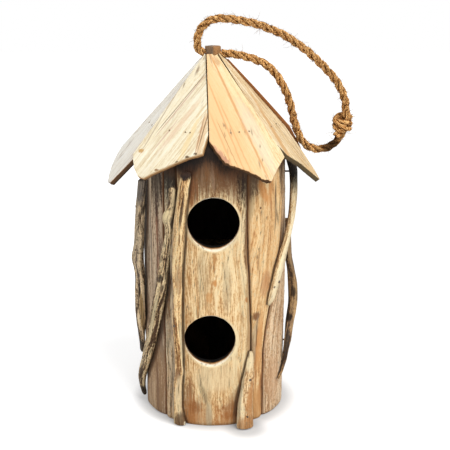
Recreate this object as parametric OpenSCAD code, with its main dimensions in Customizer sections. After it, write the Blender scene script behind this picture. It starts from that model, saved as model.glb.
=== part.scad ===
// Driftwood birdhouse with two nest chambers, a petal roof and a rope hanger.
// Origin: centre of the flat underside. +Z up, the entry holes face -Y. Millimetres.
// A bearing is an angle round the Z axis: 0 is the front (-Y) and 90 is the right side (+X).

/* [Walls] */
// Radius of the ring of staves, at their crowns
body_r = 57; // [55:0.5:60]
// Height of the upper face of the top disc, which carries the roof
body_h = 230; // [226:1:240]
// Thickness of a stave at its crown
stave_t = 9; // [8.5:0.5:11]
// How far the crown of the front stave stands proud of the others
front_proud = 1.5; // [1:0.5:3]
// Gap between neighbouring staves
stave_gap = 0.8; // [0.5:0.1:1.4]
// How far a stave falls back from its crown at its long edges
edge_drop = 2; // [1:0.25:2.5]

/* [Entry holes] */
// Diameter of both entry holes
entry_d = 40; // [32:1:41]
// Height of the lower entry hole's centre
entry_lower_z = 73; // [66:1:80]
// Height of the upper entry hole's centre
entry_upper_z = 167; // [160:1:174]
// Sideways place of the lower entry hole
entry_lower_x = -2.5; // [-3:0.5:1]
// Sideways place of the upper entry hole
entry_upper_x = 0.5; // [-2:0.5:2]

/* [Discs] */
// Thickness of the floor
floor_t = 8; // [6:1:12]
// Thickness of the shelf between the two chambers
shelf_t = 8; // [6:1:10]
// Height of the underside of the shelf
shelf_z = 116; // [112:1:118]
// Thickness of the top disc
top_t = 18; // [17:1:22]
// Clearance between a disc and the flat backs of the staves
disc_gap = 0.3; // [0.2:0.05:0.5]

/* [Roof] */
// Slope of the roof boards, in degrees
roof_slope = 51; // [49:0.5:53]
// Thickness of a roof board
board_t = 4.5; // [4:0.25:5.5]
// Gap between neighbouring roof boards
board_gap = 0.9; // [0.6:0.1:1.5]
// Clearance between the undersides of the boards and what they lie on
seat_gap = 0.3; // [0.2:0.05:0.5]

/* [King post] */
// Width of the six-sided king post across its flats
post_af = 12; // [11.5:0.5:14]
// How far the king post stands above the boards round it
post_proud = 5; // [4.5:0.5:9]
// Depth of the rope bore's axis below the top of the post
bore_drop = 5.5; // [5.5:0.25:7]
// Clearance between the roof boards and the king post
post_gap = 0.5; // [0.4:0.05:0.8]

/* [Rope] */
// Diameter of the rope
rope_d = 6; // [5:0.5:6.5]
// Clearance all round the rope in its bore
rope_gap = 0.5; // [0.4:0.05:0.7]
// Clearance all round the rope in the notches of the roof boards
notch_gap = 1.4; // [1.3:0.1:1.8]

/* [Branches] */
// How far below the eaves the highest branch could end
branch_headroom = 7; // [6:0.5:12]
// Clearance between a branch and the stave that it is nailed to
branch_gap = 0.3; // [0.25:0.05:0.5]
// Corners round a branch
branch_sides = 10; // [8:1:12]

/* [Nails] */
// Diameter of a nail's shank
nail_d = 1.4; // [1.2:0.1:1.6]
// Diameter of a nail's head
nail_head_d = 2.2; // [2:0.1:3]
// Length of a nail
nail_l = 15; // [13:0.5:15.5]
// How far the heads of the stave nails are sunk under the face of the wood
stave_nail_sink = 0.7; // [0.5:0.1:1]
// Height of the top row of stave nails above the underside of the top disc
top_nail_rise = 2.2; // [2:0.1:2.6]
// How far inside the rim of the top disc a roof nail leaves its board
roof_nail_in = 1.2; // [1:0.1:2]

/* [Hidden] */
$fn = 96;

grey_wood = "#8d7a66";
tan_wood = "#d6b283";
pink_wood = "#c9a27f";
pale_wood = "#efe0b8";
brown_wood = "#7d5f43";
coir = "#a9713a";
steel = "#6f6a63";

// A point at a bearing, a distance from the axis and a height.
function at(bearing, r, z) = [r * sin(bearing), -r * cos(bearing), z];
function mix(a, b, t) = a + (b - a) * t;
function ease(t) = t <= 0 ? 0 : t >= 1 ? 1 : t * t * (3 - 2 * t);

// Walls. Nine split branches stand round the discs, flat side in.
// The seams between them are bearings, [at the bottom, at the top].
seams = [[-31, -29], [31.5, 27.5], [44.5, 77], [95, 112], [140, 150],
    [184, 188], [228, 226], [272, 268], [317, 317], [329, 331]];
// The seams swing over between these shares of the height of the visible wall.
swing_from = 0.24;
swing_to = 0.85;
stave_levels = [0, 0.1, 0.22, 0.34, 0.46, 0.58, 0.7, 0.85, 1];
arc_steps = 6;

core_r = body_r - stave_t;
disc_r = core_r - disc_gap;

// The planes of the roof boards' outer faces go through one apex. The boards rest on the
// upper edge of the top disc.
board_back = board_t / cos(roof_slope);
apex_z = body_h + seat_gap + disc_r * tan(roof_slope) + board_back;
// The bearing that each board faces, and the seams between the boards. A seam is the upright
// plane at a bearing, set off from the axis towards greater bearings.
board_bearings = [-77, -28.5, 22.5, 70, 118, 158, 203, 248];
board_seams = [[-103, 0], [-56, -0.8], [3, -5.7], [51, -1.8], [94, -2], [136, 0], [180, 0],
    [226, 0], [257, 0]];
// Height of the boards' undersides at a bearing and a distance from the axis
function under_roof_z(bearing, r) =
    apex_z - board_back - r * tan(roof_slope) * max([for (b = board_bearings) cos(bearing - b)]);
eaves_z = apex_z - board_back - body_r * tan(roof_slope);
wall_h = eaves_z - branch_headroom;

// Each stave's [extra crown, bow in the middle, height of its foot above the ground].
stave_shape = [[front_proud, 0, 0], [0.5, 0.5, 0], [0, 1, 0], [0, 0.5, 1], [0.5, 0, 0],
    [0, 0.8, 1.5], [0, 0.4, 0], [-0.5, 0.3, 0.5], [0, 0.3, 0]];
// The front stave is the widest, so its edges fall back less.
front_edge_drop = edge_drop / 4;

function swing(z) = ease((z / wall_h - swing_from) / (swing_to - swing_from));
function seam(k, z) = mix(seams[k][0], seams[k][1], swing(z));
function drop_of(k) = k == 0 ? front_edge_drop : edge_drop;
function crown_of(k, z) =
    body_r + stave_shape[k][0] + stave_shape[k][1] * sin(180 * min(z / wall_h, 1));
// How far round a stave a bearing lies, from -1 to 1. A gap between two staves counts as wall.
edge_reach = 1.02;
function across(k, bearing, z) =
    (2 * bearing - seam(k, z) - seam(k + 1, z)) / (seam(k + 1, z) - seam(k, z));
function stave_r(k, t, z) = crown_of(k, z) - drop_of(k) * pow(t, 4);
// Outer radius of the wall at a bearing and a height.
function wall_r(bearing, z) = max([for (k = [0:8], b = [bearing, bearing + 360])
    let(t = across(k, b, z)) abs(t) <= edge_reach ? stave_r(k, min(abs(t), 1), z) : 0]);

// One section of a stave as [bearing, distance from the axis] pairs: the round face, then
// the two corners of the flat back
function stave_section(k, z) =
    let(gap = asin(stave_gap / 2 / body_r),
        from = seam(k, z) + gap,
        to = seam(k + 1, z) - gap,
        back_r = core_r / cos((to - from) / 2))
    concat([for (i = [0:arc_steps])
            let(t = -1 + 2 * i / arc_steps) [mix(from, to, i / arc_steps), stave_r(k, t, z)]],
        [[to, back_r], [from, back_r]]);
function stave_ring(k, z) = [for (p = stave_section(k, z)) at(p[0], p[1], z)];
// The head of a stave, cut to lie under the boards
function stave_head(k) =
    [for (p = stave_section(k, wall_h)) at(p[0], p[1], under_roof_z(p[0], p[1]) - seat_gap)];

// A closed skin over rings of points, each ring seen from above in the same sense.
module skin(rings) {
    n = len(rings[0]);
    last = len(rings) - 1;
    faces = concat(
        [for (i = [1:n - 2]) [0, i, i + 1]],
        [for (i = [1:n - 2]) [last * n, last * n + i + 1, last * n + i]],
        [for (j = [0:last - 1], i = [0:n - 1])
            [j * n + i, (j + 1) * n + i, (j + 1) * n + (i + 1) % n]],
        [for (j = [0:last - 1], i = [0:n - 1])
            [j * n + i, (j + 1) * n + (i + 1) % n, j * n + (i + 1) % n]]);
    polyhedron(points = [for (ring = rings, p = ring) p], faces = faces);
}

module stave(k, tone) {
    foot = stave_shape[k][2];
    color(tone)
        skin(concat([for (level = stave_levels) stave_ring(k, mix(foot, wall_h, level))],
            [stave_head(k)]));
}

module entry_hole(x, z) {
    translate([x, -core_r / 2, z])
        rotate([90, 0, 0])
            cylinder(h = body_r, d = entry_d);
}

module stave_front() {
    difference() {
        stave(0, tan_wood);
        entry_hole(entry_lower_x, entry_lower_z);
        entry_hole(entry_upper_x, entry_upper_z);
    }
}

// Discs inside the wall
module disc(z, thickness) {
    color(pale_wood)
        translate([0, 0, z])
            cylinder(h = thickness, r = disc_r);
}

module floor_disc() {
    disc(0, floor_t);
}

module shelf_disc() {
    disc(shelf_z, shelf_t);
}

module top_disc() {
    disc(body_h - top_t, top_t);
}

// Roof
wall_v = body_r / cos(roof_slope);
// Outlines of the boards' free edges. Each point is [across the board, down the slope past
// the wall], looking at the board from outside.
eaves = [
    [[-40, -60], [-37, -16], [-35, 12], [-31, 24], [-21, 34], [-9, 41], [3, 45], [10, 43.5],
        [16, 31], [24, 13], [30, -20]],
    [[-50, -12], [-34.5, 10], [-32.5, 16], [-28.5, 23], [-23.5, 29], [-18, 30.5], [-12, 25.5],
        [0.5, 17.5], [12, 10], [18, 7.5], [23.5, 5], [23, -5], [23.3, -11], [30, -30]],
    [[-30, -30], [-24, -12], [-24.5, -6], [-22.5, -1], [-21.5, 3], [-18.5, 8.5], [-16.5, 13],
        [-8.5, 17.5], [0.5, 22.5], [11, 30], [16, 31.5], [23, 22.5], [32, 12.5], [29, -2], [40, -30]],
    [[-30, -20], [-20, -2], [-14, 14], [0, 26], [12.5, 44], [16, 35], [19, 14], [21, -7], [22, -30]],
    [[-30, -30], [-27, -8], [-18, 20], [-6, 40], [1, 43], [10, 30], [19, 14], [25, -4], [25, -30]],
    [[-26, -30], [-24, -6], [-21, 8], [-8, 28], [-2, 33], [9, 22], [21, 9], [24, -8], [26, -30]],
    [[-26, -30], [-24, -8], [-19, 12], [-9, 19], [4, 36], [9, 37], [17, 19], [24, 6], [24, -30]],
    [[-26, -30], [-25, -8], [-22, 10], [-10, 30], [-3, 42], [3, 40], [12, 22], [17, -4], [17, -30]]];

// Half the width of a board's outline at the apex. The seams cut it narrower.
board_top_half = 12;
// Cutting shapes end this far above the apex of the roof.
above_apex = 10;
post_face_bearing = -20;
post_corner_r = post_af / 2 / cos(30);
board_top_z = apex_z - (post_af / 2 + post_gap) * tan(roof_slope);
post_top_z = board_top_z + post_proud;
bore_z = post_top_z - bore_drop;
bore_d = rope_d + 2 * rope_gap;

module post_prism(grow, z, height) {
    translate([0, 0, z])
        rotate([0, 0, post_face_bearing + 30 - 90])
            cylinder(h = height, r = post_corner_r + grow, $fn = 6);
}

module along_bore(diameter, length) {
    translate([-length / 2, 0, bore_z])
        rotate([0, 90, 0])
            cylinder(h = length, d = diameter);
}

module king_post() {
    color(grey_wood)
        difference() {
            post_prism(0, body_h, post_top_z - body_h);
            along_bore(bore_d, 4 * post_af);
        }
}

// The space between two seams, less half a board gap on each, up to the level round the post.
module wedge(from, to) {
    middle = (from[0] + to[0]) / 2;
    reach = 4 * body_r;
    from_off = from[1] + board_gap / 2;
    to_off = to[1] - board_gap / 2;
    tip = [from_off * sin(to[0]) - to_off * sin(from[0]),
        to_off * cos(from[0]) - from_off * cos(to[0])] / sin(to[0] - from[0]);
    linear_extrude(board_top_z)
        polygon([tip,
            tip + reach * [sin(from[0]), -cos(from[0])],
            tip + reach * [sin(middle), -cos(middle)],
            tip + reach * [sin(to[0]), -cos(to[0])]]);
}

module roof_board(n) {
    outline = concat([[board_top_half, 0], [-board_top_half, 0]],
        [for (p = eaves[n - 1]) [p[0], -wall_v - p[1]]]);
    color(pale_wood)
        difference() {
            intersection() {
                rotate([0, 0, board_bearings[n - 1]])
                    translate([0, 0, apex_z])
                        rotate([roof_slope, 0, 0])
                            translate([0, 0, -board_t])
                                linear_extrude(board_t)
                                    polygon(outline);
                wedge(board_seams[n - 1], board_seams[n]);
            }
            post_prism(post_gap / cos(30), 0, apex_z + above_apex);
            along_bore(rope_d + 2 * notch_gap, 8 * post_af);
        }
}

module roof_board_1() {
    roof_board(1);
}

module roof_board_2() {
    roof_board(2);
}

module roof_board_3() {
    roof_board(3);
}

module roof_board_4() {
    roof_board(4);
}

module roof_board_5() {
    roof_board(5);
}

module roof_board_6() {
    roof_board(6);
}

module roof_board_7() {
    roof_board(7);
}

module roof_board_8() {
    roof_board(8);
}

module stave_right() {
    stave(1, tan_wood);
}

module stave_right_rear() {
    stave(2, pink_wood);
}

module stave_back_right() {
    stave(3, tan_wood);
}

module stave_back() {
    stave(4, grey_wood);
}

module stave_back_left() {
    stave(5, tan_wood);
}

module stave_left_rear() {
    stave(6, grey_wood);
}

module stave_left() {
    stave(7, grey_wood);
}

module stave_left_front() {
    stave(8, grey_wood);
}

// Branches. Each station is [bearing, share of the wall's height, width, depth,
// how far the branch stands off the wall there].
front_route = [[-25.5, 0, 10.5, 6, 0], [-27, 0.065, 7, 6, 0], [-26.8, 0.155, 7.2, 6.5, 0],
    [-26, 0.26, 7.2, 6.5, 0], [-27.2, 0.4, 9.2, 7, 0], [-26, 0.52, 7.5, 7, 0.3],
    [-26.4, 0.62, 9.8, 7.5, 0], [-24.8, 0.725, 10.6, 8, 0], [-23, 0.82, 9, 7.5, 0],
    [-20.2, 0.92, 8.6, 7, 0], [-18.6, 0.976, 7.8, 6, 0]];
left_cross_route = [[-79, 0.03, 4.6, 4, 0.1], [-81, 0.065, 6.4, 5, 1.2], [-74.5, 0.13, 9.4, 7, 0.2],
    [-63, 0.22, 11.2, 7.2, 0], [-53, 0.335, 10.2, 7.2, 0], [-46, 0.45, 10.6, 8, 0.6],
    [-40.2, 0.54, 9.4, 7.5, 0.6], [-36, 0.65, 8, 7, 0.8], [-32.8, 0.75, 6, 6, 1],
    [-33.8, 0.8, 8, 6, 1], [-30.4, 0.85, 5.6, 5.5, 1.6], [-29.4, 0.915, 5.4, 5, 1.6]];
left_route = [[-82, 0.205, 4, 4, 0.8], [-81, 0.28, 6.5, 5.5, 0.6], [-73.5, 0.37, 10, 8, 0.2],
    [-73.5, 0.44, 11, 8, 0.4], [-73.5, 0.53, 10.6, 8, 0.4], [-75.5, 0.6, 12, 9, 0.6],
    [-71.5, 0.7, 10.2, 8, 0.7], [-68, 0.81, 8.8, 7.5, 0.6], [-65.5, 0.915, 6, 6, 0.4]];
foot_route = [[22.4, 0, 14, 8.4, 3.4], [22.8, 0.048, 13.4, 8, 2.2], [23.8, 0.105, 12, 7, 0.8],
    [26.8, 0.185, 9.8, 5.8, 0.2], [29, 0.26, 5.6, 4, 0], [29.6, 0.29, 3, 3, 0]];
right_bow_route = [[47.5, 0.45, 2.4, 2.6, 0], [50, 0.475, 6.8, 4.6, 0], [55, 0.535, 8, 5.4, 0],
    [61, 0.6, 9, 6, 0.2], [74, 0.68, 8, 5.8, 0.8], [82, 0.76, 7.4, 5.8, 2.6],
    [86.5, 0.855, 7.4, 6, 3.4], [87.5, 0.92, 7.8, 6.5, 2.8], [84.5, 0.972, 8.6, 7.4, 0.6]];
right_route = [[64, 0.125, 2.2, 2.5, 0], [70, 0.15, 3.4, 3, 0], [76, 0.18, 4, 4, 0],
    [79, 0.26, 6, 5.5, 1], [84, 0.33, 8.4, 7, 1.4], [88, 0.4, 8.4, 7.5, 3.2],
    [89, 0.475, 8.6, 7.5, 2.6], [91, 0.53, 8, 6.4, 1.8], [94, 0.58, 7.4, 5.6, 0.3],
    [99, 0.68, 6.4, 5.2, 0.3], [100, 0.72, 4.6, 4.4, 0.3]];
back_right_route = [[133, 0.02, 9, 7, 0], [136, 0.2, 10.5, 8, 0], [139.5, 0.4, 9.5, 8, 0.6],
    [141, 0.55, 8.6, 7, 0.3], [145, 0.75, 8, 7, 0], [150, 0.94, 6.6, 6, 0]];
back_route = [[192, 0.005, 8, 6.5, 0], [189, 0.16, 9.4, 7.5, 0], [184, 0.34, 11, 8, 0.4],
    [181, 0.5, 9.2, 7.5, 0.5], [176, 0.7, 7.6, 7, 0.3], [174, 0.86, 6, 5, 0]];
back_left_route = [[236, 0.01, 7, 6, 0], [234, 0.14, 9, 7.5, 0], [229, 0.3, 10, 8, 0.4],
    [226.5, 0.46, 8.8, 7.5, 0.8], [230, 0.62, 8.4, 7, 0.6], [236, 0.8, 7.4, 6.5, 0],
    [238, 0.945, 6, 5.5, 0]];

// The wall's radius under a station of a branch. The round flanks of a branch lift off the
// wall by this share of its width.
flank_lift = 0.125;
function bearing_r(s, z) =
    let(half = asin(s[2] / 2 / body_r),
        lift = s[2] * flank_lift)
    max(wall_r(s[0], z), wall_r(s[0] - half, z) - lift, wall_r(s[0] + half, z) - lift);
function branch_centre(s) =
    let(z = s[1] * wall_h) at(s[0], bearing_r(s, z) + branch_gap + s[4] + s[3] / 2, z);
function branch_ring(s) =
    let(centre = branch_centre(s),
        side = [cos(s[0]), sin(s[0]), 0],
        out = [sin(s[0]), -cos(s[0]), 0])
    [for (i = [0:branch_sides - 1])
        let(turn = 360 * i / branch_sides)
        centre + side * s[2] / 2 * cos(turn) - out * s[3] / 2 * sin(turn)];

module branch(route, tone) {
    color(tone)
        skin([for (s = route) branch_ring(s)]);
}

module branch_front() {
    branch(front_route, tan_wood);
}

module branch_left_cross() {
    branch(left_cross_route, brown_wood);
}

module branch_left() {
    branch(left_route, grey_wood);
}

module branch_foot() {
    branch(foot_route, tan_wood);
}

module branch_right_bow() {
    branch(right_bow_route, tan_wood);
}

module branch_right() {
    branch(right_route, brown_wood);
}

module branch_back_right() {
    branch(back_right_route, brown_wood);
}

module branch_back() {
    branch(back_route, tan_wood);
}

module branch_back_left() {
    branch(back_left_route, grey_wood);
}

// Nails. Each one is driven in along the radius, its head's top at the given distance out.
nail_head_t = 0.6;
module nail() {
    color(steel)
        rotate([0, 180, 0]) {
            cylinder(h = nail_head_t, d = nail_head_d, $fn = 24);
            translate([0, 0, nail_head_t / 2])
                cylinder(h = nail_l - nail_head_t / 2, d = nail_d, $fn = 24);
        }
}

module radial_nail(bearing, r, z) {
    translate(at(bearing, r, z))
        rotate([90, 0, bearing])
            nail();
}

// Two nails a stave at each disc, a little inside its edges, sunk and filled over
nail_spread = [0.55, -0.5];
nail_rows = [floor_t / 2, shelf_z + shelf_t / 2, body_h - top_t + top_nail_rise];
module stave_nails() {
    for (k = [0:8], z = nail_rows, t = nail_spread) {
        bearing = mix(seam(k, z), seam(k + 1, z), (1 + t) / 2);
        radial_nail(bearing, stave_r(k, t, z) - stave_nail_sink, z);
    }
}

// The stations of each branch that take a nail.
branch_nail_stations = [[front_route, 9], [front_route, 4], [left_cross_route, 3],
    [left_cross_route, 9], [left_route, 2], [left_route, 7], [foot_route, 1], [foot_route, 3],
    [right_bow_route, 2], [right_bow_route, 7], [right_route, 3], [right_route, 8],
    [back_right_route, 1], [back_right_route, 4], [back_route, 1], [back_route, 4],
    [back_left_route, 1], [back_left_route, 5]];
module branch_nails() {
    for (entry = branch_nail_stations) {
        s = entry[0][entry[1]];
        z = s[1] * wall_h;
        radial_nail(s[0], bearing_r(s, z) + branch_gap + s[4] + s[3] + nail_head_t / 3, z);
    }
}

// Nails through the boards into the top disc, just inside its rim: [board, distance across]
roof_nail_places = [[1, -7], [1, 6], [2, -10], [2, 4], [2, 8], [3, -6], [3, 1], [3, 9], [4, -6],
    [4, 7], [5, -8], [5, 6], [6, -7], [6, 8], [7, -8], [7, 6], [8, -6], [8, 4]];
roof_nail_v = (disc_r - roof_nail_in + board_t * sin(roof_slope)) / cos(roof_slope);
module roof_nails() {
    for (place = roof_nail_places)
        rotate([0, 0, board_bearings[place[0] - 1]])
            translate([0, 0, apex_z])
                rotate([roof_slope, 0, 0])
                    translate([place[1], -roof_nail_v, nail_head_t / 2])
                        nail();
}

// Rope. It lies in the bore of the king post, and its two ends meet in the knot.
// Points of the free loop's centreline, from the left end of the bore round to the right
// end, measured from the middle of the bore.
rope_route = [[-9.5, 0, 1.6], [-12, 0, 5.6], [-12, 0, 11.5], [-10, 0.5, 17.5], [-5, 1, 23.2],
    [2, 1, 26.2], [13, 2, 26], [24, 3, 24.2], [34, 4, 21.8], [43, 5, 18.5], [53, 6, 14.4],
    [62.5, 7, 8.6], [72, 8, 2], [80, 9, -5], [88.5, 9, -13], [96, 9, -21.5], [101.5, 9, -30.5],
    [104.5, 9, -39], [105, 9, -47], [103.5, 9, -55], [102.5, 9, -64], [98, 9, -71.5],
    [91.5, 9.5, -76], [83.5, 10, -77.5], [75.5, 10, -75], [69.8, 10, -69], [66, 10, -60],
    [63.2, 9, -50], [61, 8, -41], [57.8, 7, -32], [53.5, 5.5, -23.5], [48, 4, -15.5],
    [41, 3, -9], [32, 2, -4.8], [22.5, 1, -2], [14, 0, -0.4]];
rope_exit_x = post_af / 2 + rope_gap;
rope_sides = 12;
rope_line = concat([[-rope_exit_x, 0, 0]], rope_route, [[rope_exit_x, 0, 0]]);
rope_last = len(rope_line) - 1;

function unit(v) = v / norm(v);
// Direction of the centreline at a point. It is square to the post at both ends.
function rope_way(i) =
    i == 0 || i == rope_last ? [-1, 0, 0] : unit(rope_line[i + 1] - rope_line[i - 1]);
function rope_ring(i) =
    let(way = rope_way(i),
        side = unit(cross(way, [0, 1, 0])),
        up = cross(way, side))
    [for (k = [0:rope_sides - 1])
        let(turn = 360 * k / rope_sides)
        [0, 0, bore_z] + rope_line[i] + rope_d / 2 * (side * cos(turn) + up * sin(turn))];

module rope_loop() {
    color(coir)
        skin([for (i = [0:rope_last]) rope_ring(i)]);
}

module rope_bight() {
    color(coir)
        along_bore(rope_d, 2 * rope_exit_x);
}

// The knot: two turns of the rope round its own run, and the two short ends.
knot_centre = [103.6, 9, -54.5];
knot_turn_r = rope_d * 0.85;
// Half the distance between the two turns
knot_half_pitch = rope_d * 0.55;
// Lengths of the short ends that stick out of the knot
knot_upper_end = rope_d * 0.9;
knot_lower_end = rope_d * 1.2;
module knot_turn(tilt) {
    rotate(tilt)
        rotate_extrude($fn = 48)
            translate([knot_turn_r, 0])
                circle(d = rope_d, $fn = 24);
}

module knot_end(offset, tilt, length) {
    translate(offset)
        rotate(tilt) {
            cylinder(h = length, d = rope_d, $fn = 24);
            translate([0, 0, length])
                sphere(d = rope_d, $fn = 24);
        }
}

module rope_knot() {
    color(coir)
        translate([0, 0, bore_z] + knot_centre) {
            translate([0, 0, knot_half_pitch])
                knot_turn([14, 8, 0]);
            translate([0, 0, -knot_half_pitch])
                knot_turn([-12, -10, 0]);
            knot_end(knot_turn_r * [0.6, -0.7, 0], [0, 40, -30], knot_upper_end);
            knot_end(knot_turn_r * [-0.7, -0.5, 0], [0, 200, 20], knot_lower_end);
        }
}

floor_disc();
shelf_disc();
top_disc();
king_post();
stave_front();
stave_right();
stave_right_rear();
stave_back_right();
stave_back();
stave_back_left();
stave_left_rear();
stave_left();
stave_left_front();
branch_front();
branch_left_cross();
branch_left();
branch_foot();
branch_right_bow();
branch_right();
branch_back_right();
branch_back();
branch_back_left();
roof_board_1();
roof_board_2();
roof_board_3();
roof_board_4();
roof_board_5();
roof_board_6();
roof_board_7();
roof_board_8();
stave_nails();
branch_nails();
roof_nails();
rope_bight();
rope_loop();
rope_knot();
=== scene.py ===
"""The looks of a driftwood birdhouse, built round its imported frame.

Sizes are millimetres and degrees in the frame's own axes: +Z up, the entry holes face -Y and the
origin is in the middle of the underside. Each finished mesh is turned into metres by `place`.
A bearing is an angle round the Z axis: 0 is the front and 90 is the right side.
"""

import logging
import math
import random
from dataclasses import dataclass
from enum import Enum
from typing import Callable, Sequence

import bmesh
import bpy
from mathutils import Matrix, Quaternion, Vector, noise


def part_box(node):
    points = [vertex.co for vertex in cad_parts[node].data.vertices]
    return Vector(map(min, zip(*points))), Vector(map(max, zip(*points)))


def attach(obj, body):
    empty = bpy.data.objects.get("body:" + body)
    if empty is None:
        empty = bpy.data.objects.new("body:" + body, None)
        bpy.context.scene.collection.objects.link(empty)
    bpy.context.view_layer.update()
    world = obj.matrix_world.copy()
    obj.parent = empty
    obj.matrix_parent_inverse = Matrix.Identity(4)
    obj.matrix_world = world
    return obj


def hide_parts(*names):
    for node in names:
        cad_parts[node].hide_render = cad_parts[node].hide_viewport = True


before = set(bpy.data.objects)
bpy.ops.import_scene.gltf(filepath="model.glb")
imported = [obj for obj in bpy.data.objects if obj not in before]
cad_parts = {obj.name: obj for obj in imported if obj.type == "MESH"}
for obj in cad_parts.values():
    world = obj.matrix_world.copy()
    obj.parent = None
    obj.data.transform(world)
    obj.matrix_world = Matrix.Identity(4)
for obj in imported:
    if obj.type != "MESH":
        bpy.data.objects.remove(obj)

LOG = logging.getLogger("birdhouse")
MM = 0.001
GRAIN = "grain"
GROOVE = "groove"
# Attribute for painted shade under the roof, beside the branches and in the seams, and for dark soil on
# the rope
SHADE_AND_SOIL = "soil"
WHITE = (1.0, 1.0, 1.0, 1.0)
BLACK = (0.0, 0.0, 0.0, 1.0)
ROOF_SLOPE = 51.0
BOARD_BEARINGS = (-77, -28.5, 22.5, 70, 118, 158, 203, 248)
Place = Callable[[float, float], tuple[Vector, Vector, float]]


def mix(a: float, b: float, share: float) -> float:
    """The value a share of the way from a to b."""
    return a + (b - a) * share


def ease(t: float) -> float:
    """A smooth step from 0 to 1."""
    t = min(max(t, 0.0), 1.0)
    return t * t * (3.0 - 2.0 * t)


def at(bearing: float, r: float, z: float) -> Vector:
    """The point at a bearing, a distance from the axis and a height."""
    a = math.radians(bearing)
    return Vector((r * math.sin(a), -r * math.cos(a), z))


def bearing_of(point: Vector) -> float:
    """The bearing of a point."""
    return math.degrees(math.atan2(point.x, -point.y))


def half_turn(angle: float) -> float:
    """The same direction as an angle in degrees, from -180 to 180."""
    return (angle + 180) % 360 - 180


def ripple(x: float, y: float, seed: float) -> float:
    """Smooth noise from about -1 to 1."""
    return noise.noise(Vector((x, y, seed)))


def linear(tone: str) -> tuple[float, float, float, float]:
    """Turns a colour such as #d6b283 into linear light.

    Args:
        tone: Six hex digits behind a hash.

    Returns:
        Red, green, blue and an alpha of 1.
    """
    parts = [int(tone[i:i + 2], 16) / 255 for i in (1, 3, 5)]
    red, green, blue = (c / 12.92 if c <= 0.04045 else ((c + 0.055) / 1.055) ** 2.4 for c in parts)
    return red, green, blue, 1.0


def add_object(name: str, data: bpy.types.ID) -> bpy.types.Object:
    """Puts a new object with this data into the scene."""
    thing = bpy.data.objects.new(name, data)
    bpy.context.scene.collection.objects.link(thing)
    return thing


def mesh_object(name: str, bm: bmesh.types.BMesh) -> bpy.types.Object:
    """Puts a finished mesh into the scene."""
    mesh = bpy.data.meshes.new(name)
    bm.to_mesh(mesh)
    bm.free()
    return add_object(name, mesh)


# Shader values and materials


class Value:
    """A number that varies over a surface, which Python arithmetic extends with Math nodes."""

    def __init__(self, bench: "Bench", socket: bpy.types.NodeSocket) -> None:
        """Wraps a socket of the bench's node tree."""
        self.bench = bench
        self.socket = socket

    def _math(self, operation: str, *values: "Value | float") -> "Value":
        """Adds one Math node on values or numbers."""
        node = self.bench.add("ShaderNodeMath", {"operation": operation}, dict(enumerate(values)))
        return Value(self.bench, node.outputs[0])

    def __add__(self, other: "Value | float") -> "Value":
        """self + other."""
        return self._math("ADD", self, other)

    def __sub__(self, other: "Value | float") -> "Value":
        """self - other."""
        return self._math("SUBTRACT", self, other)

    def __rsub__(self, other: float) -> "Value":
        """other - self."""
        return self._math("SUBTRACT", other, self)

    def __mul__(self, other: "Value | float") -> "Value":
        """self * other."""
        return self._math("MULTIPLY", self, other)

    def __truediv__(self, other: "Value | float") -> "Value":
        """self / other."""
        return self._math("DIVIDE", self, other)

    __radd__ = __add__
    __rmul__ = __mul__

    def __abs__(self) -> "Value":
        """The value without its sign."""
        return self._math("ABSOLUTE", self)

    def step(self, low: float, high: float) -> "Value":
        """A smooth step that is 0 at low and 1 at high; low may be the larger one."""
        node = self.bench.add("ShaderNodeMapRange", {"interpolation_type": "SMOOTHSTEP"},
                              {"Value": self, "From Min": low, "From Max": high})
        return Value(self.bench, node.outputs[0])


class Source(Enum):
    """Where a finish reads its place on the surface from."""

    GRAIN = "grain attribute"
    OBJECT = "object coordinates"


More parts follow.
